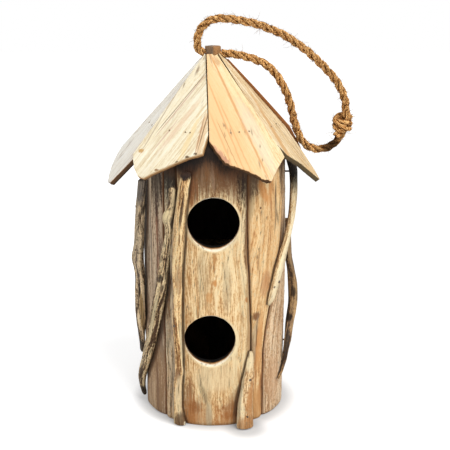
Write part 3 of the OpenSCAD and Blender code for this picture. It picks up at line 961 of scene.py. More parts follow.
    def _twist(self, shape: Shape, line: list[Vector]) -> None:
        """Lays the strands round a line."""
        frames = self._frames(line)
        last = len(line) - 1
        for strand in range(self.strands):
            def lay(x: float, y: float) -> tuple[Vector, Vector, float]:
                """Gives a point of one strand."""
                i = round((y + 1) / 2 * last)
                middle, angle = self._strand(line, frames, i, strand)
                side, up = frames[i]
                turn = math.pi * x
                along = i * self.ring_step
                yarn = abs(math.sin(self.yarns / 2 * (turn - angle * 1.6)))
                coarse = ripple(along / 1.6, 2.2 * math.cos(turn), strand * 9.0 + 2.2 * math.sin(turn))
                swell = ripple(along / 7.0, strand * 5.0, 3.0)
                r = self.strand_r * (self.strand_even + self.yarn_share * yarn
                                     + self.rough_share * coarse + self.rough_share * swell)
                point = middle + (side * math.cos(turn) + up * math.sin(turn)) * r
                grain = Vector((turn * r - along * 0.9, (point - line[i]).length, along))
                return point, grain, 0.0
            shape.lay_tube(self.strand_sides, last, lay)

    def _fray(self, shape: Shape, line: list[Vector], count: int, chance: random.Random) -> None:
        """Lets single fibres stand out from the rope, made apart and then added to the shape."""
        frames = self._frames(line)
        batch = Shape()
        for _ in range(count):
            i = chance.randrange(2, len(line) - 2)
            way = (line[i + 1] - line[i - 1]).normalized()
            side, up = frames[i]
            turn = chance.uniform(0, 2 * math.pi)
            out = side * math.cos(turn) + up * math.sin(turn)
            long = chance.random() < self.long_share
            length = chance.uniform(*(self.long_length if long else self.short_length))
            lean = chance.uniform(-self.fibre_lean, self.fibre_lean)
            swirl = self.long_swirl if long else self.short_swirl
            curl = Vector([chance.uniform(-swirl, swirl) for _ in range(3)])
            root = line[i] + out * (self.diameter * self.fibre_root)

            def lay(x: float, y: float) -> tuple[Vector, Vector, float]:
                """Gives a point of one fibre."""
                share = (y + 1) / 2
                aim = (out + way * lean + curl * share * 2).normalized()
                thick = self.fibre_r * (1.1 - 0.8 * share)
                flat = aim.orthogonal().normalized()
                swing = Quaternion(aim, math.pi * x)
                point = root + aim * length * share + (swing @ flat) * thick
                return point, Vector((i * 0.7, self.diameter * 0.45, share * 5)), 0.0
            batch.lay_tube(3, 3, lay)
        batch.paint_shade_and_soil(lambda _: self.fibre_soil)
        loose = bpy.data.meshes.new("fibres")
        batch.bm.to_mesh(loose)
        batch.bm.free()
        shape.bm.from_mesh(loose)
        bpy.data.meshes.remove(loose)


# Wall


@dataclass(frozen=True)
class StavePlan:
    """One split branch of the wall.

    crown: how far it stands out further than the wall's radius. bow: how much more halfway up.
    foot: height of its lower end.
    """

    node: str
    slot: str
    crown: float
    bow: float
    foot: float
    wood: Wood
    relief: Relief


# Tones under a stave's face, and in the cut of the entry holes; the deep ones are painted shade, near
# black
INSIDE_SHADED = ((2.6, "#8a5a32"), (5.0, "#1a110a"), (7.0, "#050302"))
HOLE_SHADED = ((0.95, "#fff2d6"), (3.1, "#b57f47"), (4.8, "#2a1a0e"), (6.0, "#040302"))

STAVES = (
    StavePlan("stave_front", "front_stave", 1.5, 0, 0,
        Wood("#fbe2b2", "#efcb95", "#bc8a55", 4.4, 130, 0.66, 0.8, 0.3, 0.25, "#b3a583", 0.34,
            crack_tone="#6b5238", seed=1, depths=HOLE_SHADED, stains=(
            # The first five stains: painted shade under the roof and down the right edge, partly real
            # staining
            Stain(0, 216, 40, 32, "#684022", 0.92, ragged=0.8), Stain(-14, 192, 5, 13, "#8d5a37", 0.6),
            Stain(18, 198, 10, 18, "#6e4a2f", 0.7), Stain(28, 202, 10, 30, "#24160d", 0.93, ragged=1),
            Stain(29, 160, 5, 46, "#6b4527", 0.85, ragged=0.9),
            Stain(0.5, 204, 1.6, 12, "#a38a72", 0.4, lean=-0.1, ragged=1.6),
            Stain(-7, 206, 1.2, 12, "#9a7e63", 0.4, ragged=1.4),
            Stain(-7, 124, 5, 26, "#c0aa84", 0.4, ragged=1.1),
            Stain(11, 116, 4, 22, "#b9a684", 0.5, ragged=1.2),
            Stain(1.9, 119.5, 1.6, 3.2, "#cf8b48", 0.85, ragged=0.3),
            Stain(-2.6, 108, 2.6, 5, "#d3995b", 0.7, ragged=0.4),
            Stain(26.6, 104, 1.4, 2.6, "#c9803f", 0.85, ragged=0.3),
            Stain(29, 100, 2.6, 70, "#b08a5f", 0.7), Stain(-8.5, 30, 2.6, 14, "#a8946f", 0.6, lean=-0.3),
            Stain(-19, 18, 5, 20, "#8d6340", 0.75, ragged=1.2),
            Stain(-15, 4, 10, 22, "#b0743f", 0.8, ragged=0.8, soft=1.6),
            Stain(-14, 16, 5, 6, "#8a5327", 0.6, ragged=0.8, soft=1.6),
            Stain(15, 5, 17, 21, "#b87f4c", 0.85, lean=0.35, ragged=0.8, soft=1.6),
            Stain(17, 17, 10, 5, "#8e552a", 0.65, lean=1.4, ragged=0.7, soft=1.6),
            Stain(12, 9, 7, 4, "#a2622f", 0.6, ragged=0.8, soft=1.6),
            Stain(20, 11, 4, 5, "#5d3a1f", 0.6, ragged=0.6, soft=1.6),
            Stain(20, 25, 8, 10, "#a4784d", 0.7, lean=0.5, ragged=0.7, soft=1.6),
            Stain(-3.4, 9, 2.6, 12, "#b9a98b", 0.6, ragged=0.7),
            # Painted shade above the front branch's top: near black
            Stain(-19, 211, 9, 11, "#0b0909", 0.98, ragged=0.4),
            Stain(2, 42, 17, 12, "#f0d6a8", 0.6, ragged=1),
            Stain(-1.2, 71.3, 23.9, 23.9, "#f6e0b2", 0.8, ragged=0.05, soft=0.14),
            Stain(1.8, 165.3, 23.9, 23.9, "#f2dcb0", 0.8, ragged=0.05, soft=0.14))),
        Relief(Tooling.WORN, 1, (
            Crack((-11, 140), (-6, 108), 0.6, 0.45), Crack((7.6, 140), (12, 104), 0.6, 0.4),
            Crack((0.4, 136), (3, 122), 0.5, 0.4), Crack((-11.5, 50), (-9.5, 33), 0.7, 0.5),
            Crack((-9.5, 34), (-5, 18), 0.7, 0.6), Crack((-2, 214), (1.4, 196), 0.6, 0.6),
            Crack((3.2, 212), (3.4, 190), 0.6, 0.6), Crack((4, 26), (8, 14), 0.6, 0.5)),
            (Lump(6.9, 206, 1.8, 1.3), Lump(10, 14, 3, 0.5)))),
    StavePlan("stave_right", "tan_stave", 0.5, 0.5, 0,
        Wood("#f8d7a3", "#eabb7f", "#b98350", 5, 110, 0.6, 0.7, 0.3, 0.3, "#b7a886", 0.25,
            crack_tone="#6b5238", seed=2, depths=INSIDE_SHADED, stains=(
            Stain(-22, 182, 4.5, 20, "#b29d76", 0.6),
            # Painted shade under the corner of the third roof board
            Stain(-20, 202, 13, 22, "#49362a", 0.88, lean=0.25, ragged=0.8),
            Stain(-10, 188, 4.2, 10, "#d58f4d", 0.75, lean=-0.4),
            Stain(-3, 186, 3, 13, "#dc9c5c", 0.6, lean=0.2),
            Stain(-12.7, 175.5, 0.9, 1.1, "#5d3b22", 0.95, ragged=0.1),
            Stain(0, 114, 6, 12, "#c58f60", 0.75), Stain(-5.7, 88.9, 3.4, 4, "#7b4d2b", 0.9, ragged=0.3),
            Stain(-4.5, 70, 2.4, 20, "#a4947a", 0.6), Stain(0, 66, 3, 24, "#d79a5c", 0.7),
            Stain(9, 101, 1.6, 9, "#f3dba6", 0.9, lean=0.3, ragged=0.2),
            Stain(4, 22, 4, 20, "#b27341", 0.8), Stain(-2, 12, 9, 18, "#cf985f", 0.7),
            # The second stain here and the band below are painted shade under the roof
            Stain(20, 140, 6, 36, "#e6c18c", 0.7), Stain(21, 202, 10, 26, "#4a3424", 0.8, ragged=0.9),
            Stain(0, 214, 40, 12, "#8d6343", 0.6))),
        Relief(Tooling.STRIPPED, 2, (
            Crack((-3.6, 84), (-2.4, 60), 0.7, 0.7), Crack((3, 40), (4.2, 4), 0.7, 0.7)),
            (Lump(-5.7, 88.9, 3.2, 1.3), Lump(-1, 118, 5, 0.6)))),
    StavePlan("stave_right_rear", "sawn_stave", 0, 1, 0,
        Wood("#fadeb8", "#e2bd92", "#ab7f58", 2.6, 60, 0.6, 0.7, 0.1, 0.5, "#b7a58c", 0.25,
            crack_tone="#7b5e44", relief=1.8, grit=1, seed=3, depths=INSIDE_SHADED, stains=(
            # The band along the top, the second stain here, is painted shade under the roof
            Stain(-12, 30, 10, 22, "#d0a47b", 0.5), Stain(0, 214, 40, 14, "#80604a", 0.6))),
        Relief(Tooling.SAWN, 3)),
    StavePlan("stave_back_right", "tan_stave", 0, 0.5, 1,
        Wood("#dcc09a", "#c4a078", "#8a6848", 3.4, 90, 0.9, 0.7, 0.4, 0.4, "#978b7a", 0.4, seed=4,
            depths=INSIDE_SHADED, stains=(Stain(4, 60, 7, 40, "#8d7256", 0.6),)),
        Relief(Tooling.SPLIT, 4)),
    StavePlan("stave_back", "grey_stave", 0.5, 0, 0,
        Wood("#b5a084", "#94806a", "#5f4d3e", 3, 110, 1, 0.8, 0.5, 0.5, "#8e877c", 0.6, seed=5,
            depths=INSIDE_SHADED, stains=(Stain(-9, 140, 6, 50, "#b99a74", 0.6),)),
        Relief(Tooling.SPLIT, 5, (Crack((6, 180), (8, 90), 1.1, 1.4),))),
    StavePlan("stave_back_left", "tan_stave", 0, 0.8, 1.5,
        Wood("#dfbf92", "#c49c6d", "#8b6543", 4.2, 100, 0.8, 0.6, 0.4, 0.4, "#a29582", 0.3, seed=6,
            depths=INSIDE_SHADED, stains=(Stain(5, 150, 5, 8, "#7d5533", 0.7),)),
        Relief(Tooling.STRIPPED, 6, (), (Lump(5, 150, 3.6, 1.4),))),
    StavePlan("stave_left_rear", "grey_stave", 0, 0.4, 0,
        Wood("#a3937c", "#85766a", "#574b42", 2.4, 100, 0.9, 0.9, 0.5, 0.5, "#8b8377", 0.6, seed=7,
            depths=INSIDE_SHADED),
        Relief(Tooling.SPLIT, 7)),
    StavePlan("stave_left", "grey_stave", -0.5, 0.3, 0.5,
        Wood("#e0c8a8", "#b89c80", "#745c48", 1.9, 130, 1.1, 1, 0.4, 0.5, "#968a7a", 0.4, grit=0.9, seed=8,
            depths=INSIDE_SHADED, stains=(
            Stain(16.5, 130, 1.5, 62, "#a5755a", 0.6), Stain(6.5, 160, 3, 40, "#a39786", 0.5),
            # Near-black stain at the top (17, 200): painted shade under the roof
            Stain(17, 200, 7.5, 34, "#2c2019", 0.85, ragged=1), Stain(4, 30, 20, 44, "#b08a62", 0.55),
            Stain(12, 20, 2, 30, "#7b5b43", 0.7))),
        Relief(Tooling.SPLIT, 8, (Crack((19, 190), (15, 110), 0.6, 0.7),), (
            Lump(-20.5, 156, 11, 1.7), Lump(-20.5, 84, 13, 1.7)))),
    StavePlan("stave_left_front", "grey_stave", 0, 0.3, 0,
        Wood("#ffeac4", "#f4d8ae", "#a8845c", 2.2, 120, 1, 1, 0.45, 0.5, "#b8aa94", 0.3, grit=0.9, seed=9,
            depths=INSIDE_SHADED, stains=(
            # Near-black stain at the top (0, 210): painted shade under the roof
            Stain(0, 210, 20, 34, "#0f0a07", 0.95, ragged=0.9), Stain(-1, 90, 3, 40, "#7a5c42", 0.5),
            Stain(0, 20, 20, 36, "#b58d64", 0.5), Stain(4, 30, 2.6, 34, "#b5a892", 0.6))),
        Relief(Tooling.SPLIT, 9)),
)


@dataclass(frozen=True)
class Wall:
    """Nine split branches that stand round the discs, flat side in.

    edge_drop: how much nearer to the axis a stave's edges are than its crown. seams: bearings of the
    seams low down and high up, between which they turn over the heights in swing, which are shares of
    the height. entries: (x, z) of the holes. branch_shade, seam_shade: how dark the painted shade on
    the wall is beside a branch and in a seam. seam_reach: how wide the painted shade in a seam is.
    calm_reach, calm_share: how far in from an edge the relief is weaker, and what is left of it there.
    edge_round, edge_reach: how far an edge is worn back, and over what width; foot_round and
    foot_reach say so of the foot. mouth: the worn mouth of a hole, each how much wider than the hole
    and how far out of the crown. mouth_shift, mouth_rough: how far it is worn to the lower right and
    how unevenly, from mouth_from under the crown over mouth_over. mouth_reach: how far round the holes
    the cut's tones go. hole_in, hole_drop: how far in of the staves' backs and how far down the cutter
    of a hole goes.
    """

    radius: float = 57.0
    thick: float = 9.0
    gap: float = 0.8
    edge_drop: float = 2.0
    front_drop: float = 0.25
    disc_gap: float = 0.3
    seat_gap: float = 0.3
    height: float = 211.8
    top_rim_z: float = 191.8
    top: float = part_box("top_disc")[1].z / MM
    seams: tuple[tuple[float, float], ...] = (
        (-31, -29), (31.5, 27.5), (44.5, 77), (95, 112), (140, 150), (184, 188), (228, 226),
        (272, 268), (317, 317), (329, 331))
    swing: tuple[float, float] = (0.24, 0.85)
    cell_across: float = 0.75
    cell_along: float = 1.7
    entries: tuple[tuple[float, float], ...] = ((-2.5, 73.0), (0.5, 167.0))
    entry_r: float = 20.0
    calm_reach: float = 1.5
    calm_share: float = 0.2
    edge_round: float = 1.1
    edge_reach: float = 1.8
    foot_round: float = 1.6
    foot_reach: float = 2.6
    back_spread: float = 1.0
    eaves_reach: float = 29.0
    eaves_sway: tuple[float, float] = (9.0, 5.0)
    branch_shade: float = 0.68
    seam_shade: float = 0.9
    seam_reach: float = 1.5
    mouth: tuple[tuple[float, float], ...] = ((0.0, -3.0), (0.5, -1.7), (3.0, 1.4))
    mouth_from: float = 2.7
    mouth_over: float = 2.0
    mouth_shift: float = 0.8
    mouth_rough: float = 0.35
    mouth_reach: float = 4.0
    hole_in: float = 14.0
    hole_drop: float = 0.6
    hole_steps: int = 72

    @property
    def core(self) -> float:
        """Distance of the flat backs from the axis."""
        return self.radius - self.thick

    def seam(self, k: int, z: float) -> float:
        """Bearing of a seam at a height, with the small sway of split wood."""
        turn = ease((z / self.height - self.swing[0]) / (self.swing[1] - self.swing[0]))
        sway = 0.5 * ripple(z / 17, (k % 9) * 3.7, 2.0) + 0.16 * ripple(z / 4, (k % 9) * 5.1, 6.0)
        return mix(self.seams[k][0], self.seams[k][1], turn) + sway

    def crown(self, k: int, z: float) -> float:
        """Distance of a stave's crown from the axis."""
        plan = STAVES[k]
        return self.radius + plan.crown + plan.bow * math.sin(math.pi * min(z / self.height, 1.0))

    def under_roof(self, bearing: float, r: float) -> float:
        """Height of the undersides of the roof boards."""
        rise = math.tan(math.radians(ROOF_SLOPE))
        top = self.top + self.seat_gap + (self.core - self.disc_gap) * rise
        return top - r * rise * max(math.cos(math.radians(bearing - b)) for b in BOARD_BEARINGS)

    def edges(self, k: int, z: float) -> tuple[float, float]:
        """Bearings of a stave's two edges at a height."""
        half_gap = math.degrees(self.gap / 2 / self.radius)
        return self.seam(k, z) + half_gap, self.seam(k + 1, z) - half_gap

    def grain_at(self, k: int, point: Vector) -> Vector:
        """The grain coordinates of any point of a stave: across, depth, height."""
        low, high = self.edges(k, point.z)
        depth = self.crown(k, point.z) - math.hypot(point.x, point.y)
        turned = half_turn(bearing_of(point) - (low + high) / 2)
        return Vector((math.radians(turned) * self.radius, depth, point.z))

    def outer(self, k: int) -> Place:
        """Gives the points of a stave's outer face."""
        plan = STAVES[k]
        drop = self.edge_drop * (self.front_drop if k == 0 else 1.0)

        def lay(x: float, y: float) -> tuple[Vector, Vector, float]:
            """Gives a point of the face."""
            low, high = self.edges(k, self.height)
            share = (x + 1) / 2
            roof = self.under_roof(mix(low, high, share), self.crown(k, self.height) - drop * x ** 4)
            z = mix(plan.foot, roof - self.seat_gap, (y + 1) / 2)
            low, high = self.edges(k, z)
            bearing = mix(low, high, share)
            across = math.radians(bearing - (low + high) / 2) * self.radius
            to_edge = math.radians(high - low) / 2 * self.radius * (1 - abs(x))
            lift, groove = plan.relief.height(across, z)
            lift *= ease(to_edge / self.calm_reach + self.calm_share)
            fall = drop * x ** 4 + self.edge_round * (1 - ease(to_edge / self.edge_reach)) ** 2
            fall += self.foot_round * (1 - ease(z / self.foot_reach)) ** 2
            r = self.crown(k, z) - fall + lift
            return at(bearing, r, z), Vector((across, self.crown(k, z) - r, z)), groove
        return lay

    def under_eaves(self, point: Vector) -> float:
        """How dark the painted shade under the roof is on the wall, from 0 to 1."""
        bearing = bearing_of(point)
        below = self.under_roof(bearing, math.hypot(point.x, point.y)) - point.z
        broad, fine = ripple(bearing / 14, 3.0, 5.0), ripple(bearing / 2.5, point.z / 25, 9.0)
        sway = self.eaves_sway[0] * broad + self.eaves_sway[1] * fine
        return 1.0 - ease(below / (self.eaves_reach + sway))

    def beside_seam(self, k: int, point: Vector) -> float:
        """How close a point of a stave is to its seams, from 0 away from them to 1 in them."""
        low, high = self.edges(k, point.z)
        half = math.radians(high - low) / 2 * self.radius
        return 1.0 - ease((half - abs(self.grain_at(k, point).x)) / self.seam_reach)

    def stave(self, k: int) -> Shape:
        """Makes one stave: its round face, its sides and its flat back."""
        shape = Shape()
        low, high = self.edges(k, self.height / 2)
        wide = math.radians(high - low) * self.radius
        across, along = round(wide / self.cell_across), round(self.height / self.cell_along)
        shape.lay_sheet(across, along, self.outer(k))
        rim = [e for e in shape.bm.edges if e.is_boundary]
        new = bmesh.ops.extrude_edge_only(shape.bm, edges=rim)["geom"]
        for v in (g for g in new if isinstance(g, bmesh.types.BMVert)):
            low, high = self.edges(k, v.co.z)
            middle = (low + high) / 2
            turned = half_turn(bearing_of(v.co) - middle) * (1 + self.back_spread / (high - low))
            back = self.core / math.cos(math.radians(turned))
            z = v.co.z
            if z > self.top_rim_z:
                z = self.under_roof(middle + turned, back) - self.seat_gap
            v.co = at(middle + turned, back, z)
            v[shape.grain] = self.grain_at(k, v.co)
            v[shape.groove] = 0.0
        bmesh.ops.holes_fill(shape.bm, edges=[e for e in shape.bm.edges if e.is_boundary], sides=0)
        bmesh.ops.recalc_face_normals(shape.bm, faces=shape.bm.faces)
        return shape

    def cutter(self, x: float, z: float) -> bmesh.types.BMesh:
        """An entry hole with a worn mouth that is widest at its lower right."""
        crown, inner = self.crown(0, z), self.core - self.hole_in
        corners = [(0.0, inner), (self.entry_r, inner)]
        corners += [(self.entry_r + wider, crown + out) for wider, out in self.mouth]
        corners.append((0.0, corners[-1][1]))
        bm = bmesh.new()
        profile = [bm.verts.new((x + side, -out, z)) for side, out in corners]
        for a, b in zip(profile, profile[1:]):
            bm.edges.new((a, b))
        bmesh.ops.spin(bm, geom=[*bm.verts, *bm.edges], cent=(x, 0, z), axis=(0, 1, 0),
                       angle=2 * math.pi, steps=self.hole_steps, use_merge=True)
        bmesh.ops.remove_doubles(bm, verts=bm.verts, dist=1e-4)
        bmesh.ops.recalc_face_normals(bm, faces=bm.faces)
        for v in bm.verts:
            mouth = ease((-v.co.y - (crown - self.mouth_from)) / self.mouth_over)
            shift = self.mouth_shift * mouth
            v.co.x += shift + self.mouth_rough * mouth * ripple(v.co.x / 3, v.co.z / 3, 4.0)
            v.co.z -= self.hole_drop + shift - self.mouth_rough * ripple(v.co.x / 4, v.co.z / 4, 8.0)
        return bm

    def drill(self, shape: Shape) -> None:
        """Cuts the entry holes out of the front stave and gives the cut its grain."""
        work = mesh_object("drilled", shape.bm)
        helpers = [work]
        for x, z in self.entries:
            hole = mesh_object("hole", self.cutter(x, z))
            cut = work.modifiers.new("hole", "BOOLEAN")
            cut.operation = "DIFFERENCE"
            cut.solver = "EXACT"
            cut.object = hole
            helpers.append(hole)
        bpy.context.view_layer.update()
        evaluated = work.evaluated_get(bpy.context.evaluated_depsgraph_get())
        shape.reload(bpy.data.meshes.new_from_object(evaluated))
        for helper in helpers:
            bpy.data.objects.remove(helper)
        for v in shape.bm.verts:
            grain = self.grain_at(0, v.co)
            to_hole = min(math.hypot(v.co.x - x, v.co.z - z) for x, z in self.entries)
            if to_hole > self.entry_r + self.mouth_reach:
                grain.y = 0.0
            v[shape.grain] = grain

    def build(self, shade_beside_branches: Callable[[Vector], float]) -> None:
        """Makes and dresses the nine staves; shade_beside_branches tells how close a point is to a branch,
        for the painted shade there.
        """
        for k, plan in enumerate(STAVES):
            shape = self.stave(k)
            if k == 0:
                self.drill(shape)
            # Painted shade under the roof, beside the branches and in the seams
            shape.paint_shade_and_soil(lambda point: max(self.under_eaves(point), self.branch_shade * shade_beside_branches(point),
                                          self.seam_shade * self.beside_seam(k, point)))
            shape.place_wood(plan.node, plan.wood, plan.slot)


# Nailed branches


@dataclass(frozen=True)
class BranchPlan:
    """The looks of one nailed branch. Its route and thickness come from its node.

    shade_widths: how far the painted shade on the wall reaches at its left and at its right, in
    millimetres. shade_turn: the angle from its crown, in radians, from which its own sides get painted
    shade.
    """

    node: str
    slot: str
    wood: Wood
    relief: Relief
    worn_ends: tuple[float, float] = (1.5, 1.5)
    shade_widths: tuple[float, float] = (1.8, 1.8)
    shade_turn: float = 2.1


BRANCHES = (
    BranchPlan("branch_front", "tan_branch",
        Wood("#ffe2ac", "#eec185", "#8a5f37", 2, 80, 0.9, 0.9, 0.6, 0.6, "#b0a08c", 0.15, relief=1.8,
            grit=0.9, seed=21, stains=(
            # Black top (2, 215): painted shade under the roof
            Stain(2, 215, 18, 15, "#0b0a0c", 0.99, ragged=0.3, soft=0.3),
            Stain(5.6, 196, 1.4, 9, "#2a211c", 0.8, ragged=1.2), Stain(2.2, 176, 0.9, 14, "#5b4030", 0.8),
            Stain(7.6, 150, 2.2, 60, "#6d4e34", 0.5), Stain(-4.4, 84, 3.4, 92, "#a89c8c", 0.6),
            Stain(3, 122, 3, 14, "#ad8861", 0.7), Stain(5.2, 66, 1.6, 30, "#f8e4b8", 0.9),
            Stain(0.5, 44, 2, 6, "#8a6547", 0.7), Stain(2.4, 24, 3.4, 20, "#f2dcb0", 0.7),
            Stain(3, 3, 8, 9, "#5d432c", 0.85), Stain(6, 1.5, 1.8, 2.6, "#f3e2c0", 0.9))),
        Relief(Tooling.SPLIT, 21, (
            Crack((2.4, 192), (1.6, 164), 0.7, 1.1), Crack((-1.4, 100), (0.6, 52), 0.6, 0.7)),
            (Lump(1, 126, 3, 1), Lump(4.4, 46, 3.4, 1), Lump(3.4, 114, 2.4, 0.7))),
        (1.2, 1.6), (3.4, 1.2), 1.15),
    BranchPlan("branch_left_cross", "dark_branch",
        Wood("#ffe6b6", "#dab786", "#4c3623", 1.8, 40, 1.4, 1, 0.6, 0.9, "#8f867a", 0.25, relief=2.2,
            grit=1.3, seed=22, stains=(
            Stain(3.4, 184, 2, 12, "#e8d2a4", 0.8), Stain(-1.6, 184, 1.2, 9, "#3b2d24", 0.85),
            Stain(0, 171, 4, 6, "#ecd6a6", 0.9), Stain(6, 164, 3.4, 9, "#3f3833", 0.9),
            Stain(1, 121, 2, 4, "#33241a", 0.9), Stain(3, 113, 1.6, 4, "#4b3627", 0.8),
            Stain(5, 72, 1.8, 14, "#553a25", 0.9), Stain(1, 84, 1.5, 30, "#ecd7ab", 0.7),
            Stain(4, 50, 1, 1.3, "#1c130d", 0.95, ragged=0.2), Stain(2.6, 30, 2.6, 8, "#4a3625", 0.85),
            Stain(5, 9, 6, 6, "#15100d", 0.9))),
        Relief(Tooling.BARKED, 22, (), (
            Lump(0.5, 171, 4, 1.6), Lump(2, 118, 3.2, 0.9), Lump(5, 72, 2, -1), Lump(2.6, 28, 2.4, -1))),
        (2, 0.8), (1.4, 6), 1.5),
    BranchPlan("branch_left", "dark_branch",
        Wood("#ffe4ba", "#dcbd94", "#4c3929", 1.9, 50, 1.4, 1.1, 0.6, 0.8, "#a0968a", 0.4, relief=2.2,
            grit=1.3, seed=23, stains=(
            Stain(11, 182, 4, 16, "#191412", 0.95), Stain(7.5, 169, 2.4, 5, "#2c2420", 0.85),
            Stain(3, 188, 6, 16, "#857d75", 0.75), Stain(5, 101, 1.3, 7, "#2b211a", 0.95),
            Stain(12.5, 98, 3, 20, "#1f1813", 0.9), Stain(7, 82, 2.6, 20, "#bb9a68", 0.8),
            Stain(0, 66, 2, 14, "#3c332c", 0.8), Stain(5, 47, 8, 9, "#45403c", 0.85))),
        Relief(Tooling.BARKED, 23, (), (
            Lump(0, 127, 4.5, 1.2), Lump(8, 150, 3, 0.7), Lump(5, 101, 1.8, -0.7))),
        (3, 1), (2, 3)),
    BranchPlan("branch_foot", "tan_branch",
        Wood("#fce5b8", "#e6c08d", "#9a6e44", 2.4, 60, 0.8, 0.8, 0.4, 0.6, "#a99c84", 0.2, relief=1.8,
            grit=0.9, seed=24, stains=(
            Stain(-2, 55, 4, 9, "#f5e2b8", 0.8), Stain(-6, 30, 2.4, 28, "#aa9d80", 0.7),
            Stain(2, 22, 3, 16, "#c98f58", 0.7), Stain(0, 4, 9, 8, "#b27a46", 0.75))),
        Relief(Tooling.STRIPPED, 24, (), (
            Lump(1, 20, 3.4, 0.9), Lump(-4.5, 38, 3, 0.8), Lump(-2, 6, 3.6, 0.8))),
        (1.2, 2), (2, 1.2), 1.15),
    BranchPlan("branch_right_bow", "tan_branch",
        Wood("#fbe8bf", "#e6c896", "#9a744c", 2.2, 90, 0.8, 0.8, 0.3, 0.4, "#a89c8a", 0.15, relief=1.6,
            grit=0.8, seed=25, stains=(
            Stain(-11, 150, 3.4, 60, "#8b6141", 0.95, ragged=0.3),
            # Black top (-6, 206): painted shade under the roof
            Stain(-6, 206, 16, 27, "#0a0705", 0.99, ragged=0.5), Stain(-2, 128, 2.4, 36, "#f8e6bf", 0.7),
            Stain(-3, 110, 0.8, 0.9, "#4a382a", 0.9, ragged=0.1))),
        Relief(Tooling.SPLIT, 25, (Crack((-8.6, 186), (-7, 104), 0.6, 0.8),), (Lump(-5, 168, 2.6, 0.6),)),
        (2, 1.2), (2.2, 1.4)),
    BranchPlan("branch_right", "dark_branch",
        Wood("#c6a070", "#8a6744", "#38271b", 1.7, 50, 1.4, 1, 0.6, 0.8, "#8b8277", 0.2, relief=2.2,
            grit=1.3, seed=26, stains=(
            Stain(-6, 95, 2.2, 6, "#33261b", 0.85), Stain(-8, 74, 3, 4, "#1d1611", 0.9),
            Stain(-11, 60, 2.6, 40, "#2b2019", 0.85), Stain(-4, 130, 2, 20, "#a58a66", 0.7),
            Stain(-9, 150, 3, 16, "#17110d", 0.9))),
        Relief(Tooling.BARKED, 26, (), (Lump(-5, 95, 3, 0.9), Lump(-4, 76, 2.6, 0.7))), (3, 2)),
    BranchPlan("branch_back_right", "dark_branch",
        Wood("#b59672", "#8b6e51", "#4c3a2b", 2, 60, 1, 0.9, 0.5, 0.7, "#8b8277", 0.4, seed=27, stains=(
            Stain(0, 90, 4, 14, "#33261c", 0.7), Stain(1, 150, 3, 16, "#a88863", 0.6))),
        Relief(Tooling.BARKED, 27, (), (Lump(1, 86, 3.4, 1.1),))),
    BranchPlan("branch_back", "tan_branch",
        Wood("#dcbf92", "#bb9869", "#7c5d40", 2.2, 70, 0.9, 0.8, 0.5, 0.7, "#a09585", 0.35, seed=28,
            stains=(
            Stain(0, 70, 4, 12, "#7d5a3c", 0.6),)),
        Relief(Tooling.SPLIT, 28, (Crack((0.5, 110), (0, 80), 0.8, 1),), (Lump(-1, 72, 4, 1.2),))),
    BranchPlan("branch_back_left", "dark_branch",
        Wood("#b8a184", "#8d7962", "#4f4236", 1.9, 70, 1, 0.9, 0.5, 0.7, "#8f897f", 0.6, seed=29, stains=(
            Stain(1, 100, 3, 18, "#2a211c", 0.75),)),
        Relief(Tooling.BARKED, 29, (), (Lump(0, 98, 3.6, 1.1),))),
)


@dataclass(frozen=True)
class Station:
    """One ring of a branch: its middle, half its width and half its depth."""

    middle: Vector
    wide: float
    deep: float


